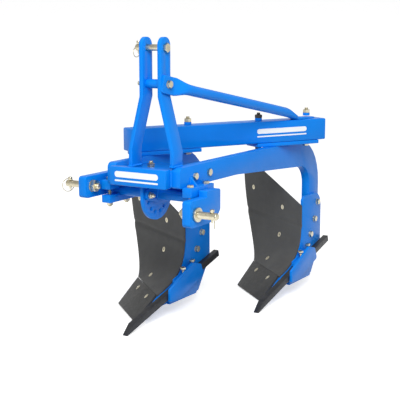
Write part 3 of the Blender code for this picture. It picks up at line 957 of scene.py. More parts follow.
# ---------------------------------------------------------------- packed plates
@dataclass
class Platework:
    """Packed plates and bars with their edges rounded and their curves smoothed.

    Attributes:
        paint: the finishes.
        widths: how far each plate's edges are rounded, where it isn't the usual.
        usual: the usual rounding.
    """

    paint: Paintshop
    widths: dict[str, float] = field(default_factory=lambda: {
        "front_leg": 0.0020, "rear_leg": 0.0020, "headstock_bar": 0.0012,
        "cross_member": 0.0012, "left_hitch_crank": 0.0030,
        "right_hitch_crank": 0.0030, "left_mast_bar": 0.0020,
        "right_mast_bar": 0.0020, "front_frog_plate": 0.0018,
        "rear_frog_plate": 0.0018, "front_bar_clip": 0.0014,
        "rear_bar_clip": 0.0014, "front_share": 0.0010, "rear_share": 0.0010,
        "left_clamp_upper": 0.0018, "left_clamp_lower": 0.0018,
        "right_clamp_upper": 0.0018, "right_clamp_lower": 0.0018})
    usual: float = 0.0012

    def finish_of(self, slot: str) -> Finish:
        """Coat that belongs to a slot of the record."""
        return {Slot.BLUE.value: ENAMEL, Slot.STEEL.value: BOARD,
                Slot.BAR.value: BLACK, Slot.ZINC.value: ZINC}[slot]

    def build(self, frame: dict[str, Any], left_out: set[str]) -> None:
        """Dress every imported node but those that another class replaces.

        Args:
            left_out: the nodes to pass over.
        """
        slots = {part["node"]: part["material_slot"]
                 for part in frame["record"]["subparts"]}
        bodies = frame["record"]["behaviour"]["bodies"]
        body_of = {node: body for body, nodes in bodies.items() for node in nodes}
        for node in sorted(frame["nodes"]):
            if node in left_out:
                continue
            piece = self.dressed(frame["nodes"][node], node)
            # The shares take the darker lacquer: painted shade for their upward faces.
            finish = SHADED_SHARE_LACQUER if node.endswith("_share") else self.finish_of(slots[node])
            self.paint.mount(piece, body_of[node], finish, Slot(slots[node]))
            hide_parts(node)

    def dressed(self, source: bpy.types.Object, node: str) -> bpy.types.Object:
        """Copy a node, merge it, dissolve its flat triangles and round its edges.

        Args:
            source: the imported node's object.
            node: its name.

        Returns:
            The rounded copy.
        """
        piece = Bench.copy(source, node + "_dressed")
        with Bench.editing(piece):
            bpy.ops.mesh.select_all(action="SELECT")
            bpy.ops.mesh.customdata_custom_splitnormals_clear()
            bpy.ops.mesh.remove_doubles(threshold=0.00002)
            bpy.ops.mesh.dissolve_limited(angle_limit=math.radians(0.6))
        Bench.round_edges(piece, self.widths.get(node, self.usual), 2, 32.0)
        return Bench.smooth(piece, 32.0)


# ----------------------------------------------------------------- mouldboards
@dataclass
class Mouldboard:
    """Pressed mouldboard: a ruled sheet between the shin and the wing.

    Attributes:
        shin: control points of the shin edge, from the share seam up.
        wing: control points of the wing edge.
        thickness: of the sheet.
        across: how many strips it has from shin to wing.
        up: how many strips it has from seam to top.
        crease_shin: how far up the crease meets the shin, from 0 to 1.
        crease_wing: how far up it meets the wing.
        crease_depth: how deep it is.
        crease_half: half its width, as a share of the height.
    """

    shin: tuple[Vector, ...] = (Vector((0.028, 0.2748, 0.105)), Vector((0.028, 0.518, 0.154)),
                                Vector((0.028, 0.520, 0.231)), Vector((0.028, 0.464, 0.6255)))
    wing: tuple[Vector, ...] = (Vector((-0.223, 0.4885, 0.105)),
                                Vector((-0.2545, 0.577, 0.160)),
                                Vector((-0.3845, 0.6604, 0.361)),
                                Vector((-0.3345, 0.5844, 0.620)))
    thickness: float = 0.008
    across: int = 30
    up: int = 130
    crease_shin: float = 0.630
    crease_wing: float = 0.595
    crease_depth: float = 0.0030
    crease_half: float = 0.015
    seam: Vector = Vector((0.016, 0.139, 0.100)).normalized() * 0.0014
    trim_corner: Vector = Vector((-0.222, 0.0, 0.550))
    trim_inner: Vector = Vector((0.060, 0.0, 0.385))
    trim_outer: Vector = Vector((-0.420, 0.0, 0.516))

    @staticmethod
    def bezier(points: Sequence[Vector], t: float) -> Vector:
        """Point of a cubic Bezier curve."""
        a, b, c, d = points
        s = 1.0 - t
        return a * s**3 + b * (3 * s * s * t) + c * (3 * s * t * t) + d * t**3

    def front(self, s: float, t: float) -> Vector:
        """Point of the board's front face, s from shin to wing and t up."""
        low, high = self.bezier(self.shin, t), self.bezier(self.wing, t)
        return low.lerp(high, s) + self.seam

    def facing(self, s: float, t: float) -> Vector:
        """Way that the board's front face looks at a point."""
        step = 0.001
        aside = self.front(s + step, t) - self.front(s - step, t)
        along = self.front(s, t + step) - self.front(s, t - step)
        normal = aside.cross(along).normalized()
        return -normal if normal.y > 0 else normal

    def back(self, s: float, t: float) -> Vector:
        """Point of the board's back face."""
        return self.front(s, t) - self.facing(s, t) * self.thickness

    def crease(self, s: float, t: float) -> float:
        """How far the pressed crease sets the sheet back at a point."""
        middle = self.crease_shin + (self.crease_wing - self.crease_shin) * s
        off = (t - middle) / self.crease_half
        fold = -0.45 * math.exp(-((off + 3.0) / 2.2) ** 2)
        return self.crease_depth * (math.exp(-off * off) + fold)

    def build(self, name: str, corner: Vector) -> bpy.types.Object:
        """Model the board.

        Args:
            name: the piece's name.
            corner: the plough body's origin.

        Returns:
            The board.
        """
        bpy.ops.mesh.primitive_grid_add(x_subdivisions=self.across,
                                        y_subdivisions=self.up, size=2.0)
        board = Bench.named(name)
        for point in board.data.vertices:
            s, t = (point.co.x + 1) / 2, (point.co.y + 1) / 2
            point.co = self.front(s, t) - self.facing(s, t) * self.crease(s, t)
        with Bench.editing(board):
            for end in (self.trim_inner, self.trim_outer):
                along = (end - self.trim_corner).normalized()
                outwards = Vector((-along.z, 0, along.x))
                if outwards.z < 0:
                    outwards = -outwards
                bpy.ops.mesh.select_all(action="SELECT")
                bpy.ops.mesh.bisect(plane_co=self.trim_corner, plane_no=outwards,
                                    clear_outer=True)
            bpy.ops.mesh.select_all(action="SELECT")
            bpy.ops.mesh.remove_doubles(threshold=0.0002)
            bpy.ops.mesh.normals_make_consistent(inside=False)
        middle = board.data.polygons[len(board.data.polygons) // 2]
        backwards = -1 if middle.normal.y < 0 else 1
        Bench.apply(board, "SOLIDIFY", thickness=self.thickness, offset=backwards)
        Bench.round_edges(board, 0.0014, 2, 50.0)
        Bench.smooth(board, 45.0)
        board.data.transform(Matrix.Translation(corner))
        return board


# ---------------------------------------------------------------- plough bodies
@dataclass
class PloughBody:
    """Fasteners, welds and board of one plough body.

    Attributes:
        tag: front or rear.
        corner: the body's own origin.
        board: the shape of its mouldboard.
    """

    tag: str
    corner: Vector
    board: Mouldboard = field(default_factory=Mouldboard)

    FROG_FACE = 0.0323
    LEG_BACK_FACE = -0.0200
    BAR_RISE = math.radians(14.3)
    BAR_TIP = 0.008
    FLANGE_LIFT = 0.044
    SHARE_NOSE = Vector((-0.016, 0.165, 0.008))
    SHARE_WING = Vector((-0.243, 0.3585, 0.008))
    SEAM_NOSE = Vector((0.0145, 0.2863, 0.105))
    FROG_BOLTS = ((0.665, 0.400), (0.634, 0.320), (0.591, 0.250))
    BOARD_BOLTS = ((0.592, 0.142), (0.388, 0.475), (0.322, 0.719), (0.837, 0.785))
    SHARE_BOLTS = ((0.749, 0.777), (0.251, 0.765))
    CLIP_SCREWS = (0.452, 0.528)

    def build(self, rack: Rack, welder: Welder, paint: Paintshop) -> None:
        """Make every piece of the body.

        Args:
            rack: the fasteners.
            welder: the weld beads.
            paint: the finishes.
        """
        board = self.board.build(f"{self.tag}_pressed_board", self.corner)
        paint.mount(board, FIXED, BOARD, Slot.STEEL)
        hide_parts(f"{self.tag}_mouldboard")
        self._bolt_board(rack)
        self._bolt_share(rack)
        self._bolt_frog(rack)
        self._fit_clip(rack, welder)
        self._tack_strap(welder)

    def _at(self, x: float, y: float, z: float) -> Vector:
        """Point given from the body's origin."""
        return self.corner + Vector((x, y, z))

    def _bolt_board(self, rack: Rack) -> None:
        """Countersunk heads on the board's face and nuts behind it."""
        for number, (s, t) in enumerate(self.BOARD_BOLTS, 1):
            way = self.board.facing(s, t)
            front = self.corner + self.board.front(s, t)
            back = self.corner + self.board.back(s, t)
            rack.fit(f"{self.tag}_board_bolt_{number}", BOARD_BOLT, front, way)
            rack.fit(f"{self.tag}_board_nut_{number}", BACK_NUT, back, -way,
                     spin=17.0 * number)

    def _bolt_share(self, rack: Rack) -> None:
        """Countersunk heads on the share and nuts under its seat."""
        aside, rise = self.SHARE_WING - self.SHARE_NOSE, self.SEAM_NOSE - self.SHARE_NOSE
        way = aside.cross(rise).normalized()
        way = way if way.z > 0 else -way
        seat_under = 0.011 + 0.0003 + 0.014
        for number, (u, v) in enumerate(self.SHARE_BOLTS, 1):
            face = self.corner + self.SHARE_NOSE + aside * u + rise * v
            rack.fit(f"{self.tag}_share_bolt_{number}", BOARD_BOLT, face, way)
            rack.fit(f"{self.tag}_share_nut_{number}", BACK_NUT,
                     face - way * seat_under, -way, spin=23.0 * number)

    def _bolt_frog(self, rack: Rack) -> None:
        """Three hexagon bolts through the frog plate and the leg."""
        for number, (y, z) in enumerate(self.FROG_BOLTS, 1):
            rack.fit(f"{self.tag}_frog_bolt_{number}", FROG_HEAD,
                     self._at(self.FROG_FACE, y, z), (1, 0, 0), spin=13.0 * number)
            rack.fit(f"{self.tag}_frog_nut_{number}", FRAME_NUT,
                     self._at(self.LEG_BACK_FACE, y - 0.004, z), (-1, 0, 0),
                     spin=31.0 * number)

    def _fit_clip(self, rack: Rack, welder: Welder) -> None:
        """Two set screws on the clip's flange, the landside bolt and one weld along the
        flange.
        """
        up = Vector((0, -math.sin(self.BAR_RISE), math.cos(self.BAR_RISE)))
        for number, y in enumerate(self.CLIP_SCREWS, 1):
            height = (y - self.BAR_TIP) * math.tan(self.BAR_RISE)
            height += self.FLANGE_LIFT / math.cos(self.BAR_RISE)
            rack.fit(f"{self.tag}_clip_screw_{number}", CLIP_SCREW,
                     self._at(0.055, y, height), up, spin=20.0 + 35.0 * number)
        rack.fit(f"{self.tag}_landside_bolt", LANDSIDE_HEAD,
                 self._at(0.0466, 0.497, 0.102), (1, 0, 0), spin=10.0)

        def flange(y: float) -> Vector:
            height = (y - self.BAR_TIP) * math.tan(self.BAR_RISE)
            return self._at(self.FROG_FACE + 0.001, y,
                            height + (self.FLANGE_LIFT + 0.001) / math.cos(self.BAR_RISE))

        welder.run(f"{self.tag}_flange_weld", flange(0.398), flange(0.530), 0.0040)

    def _tack_strap(self, welder: Welder) -> None:
        """Weld of the board's strap to the leg."""
        welder.run(f"{self.tag}_strap_weld", self._at(-0.0290, 0.6070, 0.2995),
                   self._at(-0.0290, 0.6670, 0.2995), 0.0035)


# ------------------------------------------------------------------- the frame
@dataclass
class BeamWork:
    """Bolts, collars and welds of the main beam and its pads.

    Attributes:
        places: where things are.
    """

    places: Places
    ANGLE = math.radians(28.5)
    MIDDLE = (-0.050, 0.505)
    BOLTS = (-0.288, -0.058, 0.307, 0.572)
    TOP = 0.831
    PAD_UNDER = 0.7163
    LEG_TOP = 0.716
    COLLAR = 0.0125
    STAY_FOOT = 0.0123

    def point(self, t: float, across: float, z: float) -> Vector:
        """Point along the beam, across towards its front face, at a height."""
        x = self.MIDDLE[0] + math.sin(self.ANGLE) * t + math.cos(self.ANGLE) * across
        y = self.MIDDLE[1] + math.cos(self.ANGLE) * t - math.sin(self.ANGLE) * across
        return self.places.at(x, y, z)

    def build(self, rack: Rack, welder: Welder, paint: Paintshop) -> None:
        """Make every piece of the beam.

        Args:
            rack: the fasteners.
            welder: the weld beads.
            paint: the finishes.
        """
        for number, t in enumerate(self.BOLTS, 1):
            top = self.TOP + (self.STAY_FOOT if number == len(self.BOLTS) else 0.0)
            collar = Bench.lathe(f"beam_collar_{number}", [
                (0.0, 0.0152), (0.0008, 0.0160), (self.COLLAR - 0.0008, 0.0160),
                (self.COLLAR, 0.0152)], 28)
            Bench.stand(Bench.smooth(collar), self.point(t, 0, top + TOUCH), (0, 0, 1))
            paint.mount(collar, FIXED, ENAMEL, Slot.BLUE)
            dark = OXIDE if number == 3 else ZINC
            rack.fit(f"beam_nut_{number}", BEAM_NUT,
                     self.point(t, 0, top + self.COLLAR + TOUCH), (0, 0, 1),
                     spin=19.0 * number, finish=dark)
            rack.fit(f"beam_bolt_{number}", BEAM_HEAD, self.point(t, 0, self.PAD_UNDER),
                     (0, 0, -1), spin=27.0 * number, finish=dark)
        self._weld_pads(welder)

    def _weld_pads(self, welder: Welder) -> None:
        """Beads between each pad and the leg that it lies on."""
        seat = self.LEG_TOP + 0.001
        for tag, x_face, y_low, y_high in (("front", -0.1325, 0.330, 0.424),
                                           ("front_outer", -0.1725, 0.270, 0.352),
                                           ("rear", 0.1325, 0.820, 0.918),
                                           ("rear_outer", 0.1725, 0.890, 0.990)):
            welder.run(f"{tag}_pad_weld", self.places.at(x_face, y_low, seat),
                       self.places.at(x_face, y_high, seat), 0.0036)


@dataclass
class Headstock:
    """Bolts and welds of the headstock bar, cross member and legs.

    Attributes:
        places: where things are.
    """

    places: Places
    INNER = 0.1325
    OUTER = 0.1725
    LEG_BOLTS = ((0.110, 0.672), (0.216, 0.675))

    def build(self, rack: Rack, welder: Welder) -> None:
        """Make every piece of the headstock.

        Args:
            rack: the fasteners.
            welder: the weld beads.
        """
        at = self.places.at
        for side, name in ((1, "left"), (-1, "right")):
            for number, (y, z) in enumerate(self.LEG_BOLTS, 1):
                rack.fit(f"{name}_leg_bolt_{number}", FRAME_HEAD,
                         at(side * self.OUTER, y, z), (side, 0, 0),
                         spin=11.0 + 21.0 * number)
            face = side * (self.INNER + 0.0005)
            welder.run(f"{name}_headstock_weld", at(face, -0.001, 0.640),
                       at(face, -0.001, 0.704), 0.0048)
            edge = side * (self.INNER - 0.001)
            for level, z in (("top", 0.6905), ("under", 0.6355)):
                welder.run(f"{name}_member_weld_{level}", at(edge, 0.088, z),
                           at(edge, 0.228, z), 0.0040)
        rack.fit("member_nut", FRAME_NUT, at(-0.046, 0.125, 0.690), (0, 0, 1), spin=14.0)


@dataclass
class Mast:
    """Pins, bolts and welds of the mast.

    Attributes:
        places: where things are.
    """

    places: Places
    MIDDLE = 0.0385
    HALF_GAP = 0.034
    BAR = 0.0164
    DEPTH = 0.0333
    PIN_Z = 1.170
    SPACER_Z = 1.032
    PIN_R = 0.0127
    TAIL = 0.036
    EYE = 0.0123

    def build(self, rack: Rack, welder: Welder, paint: Paintshop,
              pins: LinchPins) -> None:
        """Make every piece of the mast.

        Args:
            rack: the fasteners.
            welder: the weld beads.
            paint: the finishes.
            pins: the linch pins.
        """
        at = self.places.at
        right_face = self.MIDDLE - self.HALF_GAP - self.BAR
        left_face = self.MIDDLE + self.HALF_GAP + self.BAR
        self._top_pin(paint, at(right_face, self.DEPTH, self.PIN_Z),
                      left_face - right_face)
        pins.fit("top_linch_pin", at(right_face - self.TAIL + 0.012, self.DEPTH, self.PIN_Z),
                 (-1, 0, 0), self.PIN_R, 0.020, ring_turn=-4.0, body=FIXED, hang=1.9)
        rack.fit("spacer_bolt", MAST_HEAD,
                 at(left_face + self.EYE, self.DEPTH, self.SPACER_Z), (1, 0, 0), spin=9.0)
        rack.fit("spacer_nut", MAST_NUT, at(right_face, self.DEPTH, self.SPACER_Z),
                 (-1, 0, 0), spin=22.0)
        for side, name, foot in ((1, "left", 0.7175), (-1, "right", 0.7085)):
            inner = self.MIDDLE + side * 0.0885
            outer = inner + side * self.BAR
            for label, x in (("inner", inner), ("outer", outer)):
                welder.run(f"{name}_mast_weld_{label}", at(x, 0.003, foot),
                           at(x, 0.063, foot), 0.0042)
            welder.run(f"{name}_mast_weld_front", at(inner, 0.001, foot),
                       at(outer, 0.001, foot), 0.0042)

    def _top_pin(self, paint: Paintshop, start: Vector, span: float) -> None:
        """Top link pin: hexagon head on the left, plain round shank, tapered tail."""
        radius = self.PIN_R
        shank = Bench.lathe("shank", [
            (-0.0118, radius), (0.0, radius), (span + 0.001, radius)], 32)
        tail = Bench.lathe("tail", [
            (-self.TAIL, radius * 0.72), (-self.TAIL + 0.0035, radius * 0.98),
            (-self.TAIL + 0.005, radius), (-0.0120, radius)], 32)
        head = hexagon("head", 0.0325, 0.0115, span + 0.0004, both=False)
        pin = Bench.join("top_pin", [Bench.smooth(shank), Bench.smooth(tail), head])
        Bench.stand(pin, start, (1, 0, 0), 0.0)
        paint.mount(pin, FIXED, ZINC, Slot.ZINC)
        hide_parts("top_link_pin")


@dataclass
class LinchPins:
    """Linch pins: a tapered shank through a hitch pin and a sprung wire ring.

    Attributes:
        paint: the finishes.
    """

    paint: Paintshop
    SHANK = 0.0044
    WIRE = 0.0016

    def fit(self, name: str, centre: Vector, outwards: Sequence[float], radius: float,
            ring: float, ring_turn: float, body: str,
            hang: float = 0.96) -> bpy.types.Object:
        """Fit one linch pin, upright through a hitch pin.

        Args:
            name: the piece's name.
            centre: where it crosses the hitch pin's axis.
            outwards: where the hitch pin's end points.
            radius: the hitch pin's radius.
            ring: the ring's radius.
            ring_turn: turn of the ring about the upright, from square on, in degrees.
            body: the body that it rides on.
            hang: how far the ring's middle hangs under the head, in ring radii.

        Returns:
            The linch pin.
        """
        top = radius + 0.011
        shank = Bench.lathe("linch_shank", [
            (-radius - 0.013, self.SHANK * 0.45), (-radius - 0.009, self.SHANK * 0.9),
            (-radius - 0.006, self.SHANK), (radius + 0.001, self.SHANK),
            (radius + 0.0015, 0.0078), (radius + 0.0035, 0.0088), (top - 0.001, 0.0088),
            (top + 0.001, 0.0080), (top + 0.0018, 0.0060)], 20)
        bpy.ops.mesh.primitive_torus_add(major_radius=ring, minor_radius=self.WIRE,
                                         major_segments=56, minor_segments=10)
        loop = Bench.settle(Bench.named("linch_ring"))
        with Bench.editing(loop):
            bpy.ops.mesh.select_all(action="SELECT")
            bpy.ops.transform.resize(value=(1.0, 0.92, 1.0), center_override=(0, 0, 0))
        side = Vector(outwards).normalized()
        turn = Matrix.Rotation(math.radians(ring_turn), 3, "Z")
        facing = turn @ side
        drop = Vector((0, 0, top - 0.0045 - ring * hang))
        away = side * 0.0105
        Bench.stand(loop, drop + away, facing)
        pin = Bench.join(name, [Bench.smooth(loop, 60.0), Bench.smooth(shank)])
        pin.data.transform(Matrix.Translation(centre))
        return self.paint.mount(pin, body, ZINC, Slot.ZINC)


@dataclass
class HitchShaft:
    """Clamps' bolts, lock bolt, hitch pins' nuts and welds of the turning shaft.

    Attributes:
        places: where things are.
    """

    places: Places
    SHAFT_Y = 0.100
    SHAFT_Z = 0.587
    SHAFT_R = 0.020
    CLAMP_X = 0.194
    CLAMP_BOLTS = (0.042, 0.158)
    CLAMP_TOP = 0.638
    CLAMP_UNDER = 0.545
    PIN_Y = -0.017
    INNER_FACE = {"left": 0.221, "right": -0.236}
    PIN_HEIGHT = {"left": 0.548, "right": 0.617}
    CRANK = 0.036
    PIN_R = 0.014
    LINCH = {"left": 0.070, "right": 0.078}
    LOCK_HOLE = (-0.0697, 0.0063)
    RAIL = ((0.030, 0.1225, 0.599), (0.1724, 0.1305, 0.6336))
    RAIL_TAPER = 0.012
    RAIL_TIP = 0.55

    def build(self, rack: Rack, welder: Welder, paint: Paintshop,
              pins: LinchPins) -> None:
        """Make every piece of the shaft.

        Args:
            rack: the fasteners.
            welder: the weld beads.
            paint: the finishes.
            pins: the linch pins.
        """
        at = self.places.at
        for side, name in ((1, "left"), (-1, "right")):
            self._clamp(rack, paint, side, name)
            inner = self.INNER_FACE[name]
            height = self.PIN_HEIGHT[name]
            rack.fit(f"{name}_pin_nut", PIN_NUT, at(inner, self.PIN_Y, height),
                     (-side, 0, 0), TURNING, spin=16.0)
            pins.fit(f"{name}_linch_pin",
                     at(inner + side * (self.CRANK + self.LINCH[name]), self.PIN_Y, height),
                     (side, 0, 0), self.PIN_R, 0.029,
                     ring_turn=-16.0 if side < 0 else 32.0, body=TURNING,
                     hang=0.96 if side < 0 else 1.35)
            welder.ring(f"{name}_crank_weld",
                        at(inner - side * 0.001, self.SHAFT_Y, self.SHAFT_Z),
                        (1, 0, 0), self.SHAFT_R + 0.001, 0.0042, TURNING)
            web = side * (self.CLAMP_X - 0.0212)
            for end, y in (("front", 0.0735), ("back", 0.0845)):
                welder.run(f"{name}_gusset_weld_{end}",
                           at(web + side * 0.001, y, 0.6405),
                           at(web + side * 0.001, y, 0.670), 0.0030)
        lever_face = 0.014
        hole_y, hole_z = self.SHAFT_Y + self.LOCK_HOLE[0], self.SHAFT_Z + self.LOCK_HOLE[1]
        rack.fit("lock_nut", LOCK_NUT, at(lever_face, hole_y, hole_z), (1, 0, 0), TURNING,
                 spin=12.0)
        rack.fit("lock_bolt", LOCK_HEAD, at(-0.011, hole_y, hole_z), (-1, 0, 0), TURNING,
                 spin=5.0)
        welder.ring("lever_weld", at(lever_face + 0.001, self.SHAFT_Y, self.SHAFT_Z),
                    (1, 0, 0), self.SHAFT_R + 0.001, 0.0036, TURNING)
        # A bar put where there is only shade, so that the band under the headstock renders
        # dark.
        self._rail(paint)
        for face, x in (("right", -0.0115), ("left", 0.0015)):
            welder.run(f"sector_weld_{face}", at(x, 0.086, 0.6345), at(x, 0.196, 0.6345),
                       0.0034)

    def _rail(self, paint: Paintshop) -> None:
        """Flat bar on edge under the frame, close behind the shaft: a sheet put where there is
        only shade, to darken the band under the headstock.

        A guess: nothing shows for certain that the plough has one.

        Args:
            paint: the finishes.
        """
        low, high = self.places.at(*self.RAIL[0]), self.places.at(*self.RAIL[1])
        bpy.ops.object.select_all(action="DESELECT")
        bpy.ops.mesh.primitive_cube_add(size=1.0, location=(low + high) / 2)
        rail = Bench.named("shade_band_rail")
        rail.scale = high - low
        Bench.settle(rail)
        with Bench.editing(rail):
            Bench.pick_faces(rail, lambda face: face.normal.x < -0.9)
            bpy.ops.mesh.extrude_region_move(
                TRANSFORM_OT_translate={"value": (-self.RAIL_TAPER, 0, 0)})
            bpy.ops.transform.resize(value=(1, 1, self.RAIL_TIP),
                                     center_override=(low.x, low.y, high.z))
        Bench.smooth(Bench.round_edges(rail, 0.0012))
        paint.mount(rail, FIXED, ENAMEL, Slot.BLUE)

    def _clamp(self, rack: Rack, paint: Paintshop, side: int, name: str) -> None:
        """Two upright bolts through a clamp, with the shank seen between its blocks."""
        for number, y in enumerate(self.CLAMP_BOLTS, 1):
            x = side * self.CLAMP_X
            rack.fit(f"{name}_clamp_bolt_{number}", CLAMP_HEAD,
                     self.places.at(x, y, self.CLAMP_TOP), (0, 0, 1),
                     spin=24.0 * number + side * 7.0)
            rack.fit(f"{name}_clamp_nut_{number}", CLAMP_NUT,
                     self.places.at(x, y, self.CLAMP_UNDER), (0, 0, -1),
                     spin=18.0 * number)
            shank = threaded(f"{name}_clamp_shank_{number}", 0.0078, 0.0, 0.0236)
            shank.name = f"{name}_clamp_shank_{number}"
            Bench.stand(shank, self.places.at(x, y, 0.5762), (0, 0, 1))
            paint.mount(shank, FIXED, ZINC, Slot.ZINC)


@dataclass
class Stay:
    """Pipe stay from the mast to the beam's rear end, with both ends flattened.

    Attributes:
        places: where things are.
        sides: how many sides the pipe has.
    """

    places: Places
    sides: int = 40
    RADIUS = 0.021
    EYE_HALF = 0.0058
    FOOT_HALF = 0.0060

    def build(self, paint: Paintshop, beam: BeamWork) -> None:
        """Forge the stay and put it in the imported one's place.

        Args:
            paint: the finishes.
            beam: the beam that it ends on.
        """
        foot = beam.point(beam.BOLTS[-1], 0, beam.TOP)
        eye = self.places.at(0.0892 + self.EYE_HALF + TOUCH, 0.0333, 1.0290)
        bend = foot + Vector((-0.016, -0.088, self.FOOT_HALF + TOUCH))
        way = bend - eye
        length = way.length
        stations = self._stations(length)
        bpy.ops.mesh.primitive_circle_add(vertices=self.sides, radius=1.0,
                                          fill_type="NGON")
        stay = Bench.named("pipe_stay")
        with Bench.editing(stay):
            bpy.ops.mesh.select_all(action="SELECT")
            for _ in stations[1:]:
                bpy.ops.mesh.extrude_region_move(
                    TRANSFORM_OT_translate={"value": (0, 0, 1.0)})
        for point in stay.data.vertices:
            station = stations[round(point.co.z)]
            point.co = station.ring(point.co.x, point.co.y)
        Bench.settle(stay)
        Bench.smooth(stay, 50.0)
        aside = Vector((0, 0, 1)).cross(way).normalized()
        upright = way.cross(aside).normalized()
        turn = Matrix((aside, upright, way.normalized())).transposed().to_4x4()
        stay.data.transform(Matrix.Translation(eye) @ turn)
        paint.mount(stay, FIXED, ENAMEL, Slot.BLUE)
        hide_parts("rear_stay")

    def _stations(self, length: float) -> list[Station]:
        """Cross sections from the rounded eye to the tongue on the beam."""
        eye, foot, pipe = self.EYE_HALF, self.FOOT_HALF, self.RADIUS
        inset = pipe - eye
        slope = math.tan(math.radians(9.3))
        tongue = [(0.0, 0.022, 0.0100), (0.012, 0.027, 0.0078), (0.030, 0.0300, foot),
                  (0.085, 0.0300, foot), (0.110, 0.0300, foot), (0.124, 0.0270, foot),
                  (0.133, 0.0210, foot), (0.138, 0.0130, foot), (0.140, 0.0060, foot)]
        rows = [Station(-0.0300, eye, 0.0270, 0.0, 0.0, 6.0),
                Station(-0.0290, eye, 0.0300, 0.0, 0.0, 6.0),
                Station(-0.0265, eye, 0.0328, 0.0, 0.0, 6.0),
                Station(-0.0225, eye, 0.0345, 0.0, 0.0, 6.0),
                Station(-0.0150, eye, 0.0350, 0.0, 0.0, 6.0),
                Station(0.0120, eye, 0.0350, 0.0, 0.0, 6.0),
                Station(0.0300, eye, 0.0350, 0.0, 0.0, 5.0),
                Station(0.042, eye * 1.25, 0.0358, inset * 0.10, 0.0, 3.4),
                Station(0.056, eye * 1.9, 0.0330, inset * 0.34, 0.0, 2.8),
                Station(0.072, eye * 2.7, 0.0285, inset * 0.66, 0.0, 2.3),
                Station(0.090, pipe * 0.95, 0.0240, inset * 0.92, 0.0, 2.0),
                Station(0.112, pipe, 0.0215, inset, 0.0, 2.0),
                Station(0.150, pipe, pipe, inset, 0.0, 2.0)]
        for share in (0.35, 0.55, 0.75):
            along = 0.150 + (length - 0.150 - 0.085) * share
            rows.append(Station(along, pipe, pipe, inset * (1 - share),
                                0.016 * share, 2.0))
        rows += [Station(length - 0.085, pipe, pipe, 0.0, 0.0155, 2.0),
                 Station(length - 0.060, pipe * 1.06, pipe * 0.93, 0.0, 0.0140, 2.0),
                 Station(length - 0.035, pipe * 1.18, pipe * 0.72, 0.0, 0.0095, 2.2),
                 Station(length - 0.014, pipe * 1.30, pipe * 0.50, 0.0, 0.0045, 2.6)]
        for along, half, thick in tongue:
            rows.append(Station(length + along, half, thick, 0.0,
                                along * slope, 4.0 if thick == foot else 3.0))
        return rows


@dataclass(frozen=True)
class Station:
    """One cross section of the stay, square to its length.

    Attributes:
        along: its place along the stay.
        half_x: half its width across.
        half_y: half its height.
        aside: how far its middle stands off towards the landside.
        lift: how far its middle stands up.
        power: 2 for an ellipse, more for a flatter section.
    """

    along: float
    half_x: float
    half_y: float
    aside: float
    lift: float
    power: float

    def ring(self, x: float, y: float) -> Vector:
        """Move a point of the unit circle onto the section."""
        def bulge(value: float) -> float:
            return math.copysign(abs(value) ** (2.0 / self.power), value)

        return Vector((-self.aside + self.half_x * bulge(x),
                       self.lift + self.half_y * bulge(y), self.along))


@dataclass
class Stripes:
    """Plain white stripes of film on the headstock bar and the main beam.

    Attributes:
        places: where things are.
        film: how thick the film is.
    """

    places: Places
    film: float = 0.0004

    def build(self, paint: Paintshop, beam: BeamWork) -> None:
        """Lay every stripe.

        Args:
            paint: the finishes.
            beam: the beam that carries two of them.
        """
        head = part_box("headstock_bar")
        front = Vector((0, -1, 0))
        middle = Vector(((head[0].x + head[1].x) / 2 - 0.004, head[0].y, 0.671))
        for name, drop, height in (("broad", 0.008, 0.024), ("fine", -0.017, 0.007)):
            self._strip(f"headstock_stripe_{name}", paint, middle + Vector((0, 0, drop)),
                        front, 0.205, height)
        face = beam.point(0.405, 0.048, 0.781)
        outwards = Vector((math.cos(beam.ANGLE), -math.sin(beam.ANGLE), 0))
        for name, drop, height in (("broad", 0.007, 0.022), ("fine", -0.016, 0.006)):
            self._strip(f"beam_stripe_{name}", paint, face + Vector((0, 0, drop)),
                        outwards, 0.270, height)

    def _strip(self, name: str, paint: Paintshop, centre: Vector, way: Vector,
               length: float, height: float) -> None:
        """One stripe with rounded ends, standing upright on a face."""
        bpy.ops.mesh.primitive_plane_add(size=1.0)
        strip = Bench.named(name)
        strip.scale = (length, height, 1.0)
        Bench.settle(strip)
        with Bench.editing(strip):
            bpy.ops.mesh.select_all(action="SELECT")
            bpy.ops.mesh.bevel(offset=height * 0.46, segments=6, affect="VERTICES")
            bpy.ops.mesh.select_all(action="SELECT")
            bpy.ops.mesh.extrude_region_move(
                TRANSFORM_OT_translate={"value": (0, 0, self.film)})
            bpy.ops.mesh.select_all(action="SELECT")
            bpy.ops.mesh.normals_make_consistent(inside=False)
        across = Vector((0, 0, 1)).cross(way).normalized()
        turn = Matrix((across, Vector((0, 0, 1)), way)).transposed().to_4x4()
        strip.data.transform(Matrix.Translation(centre + way * TOUCH) @ turn)
        paint.mount(Bench.smooth(strip), FIXED, STRIPE)


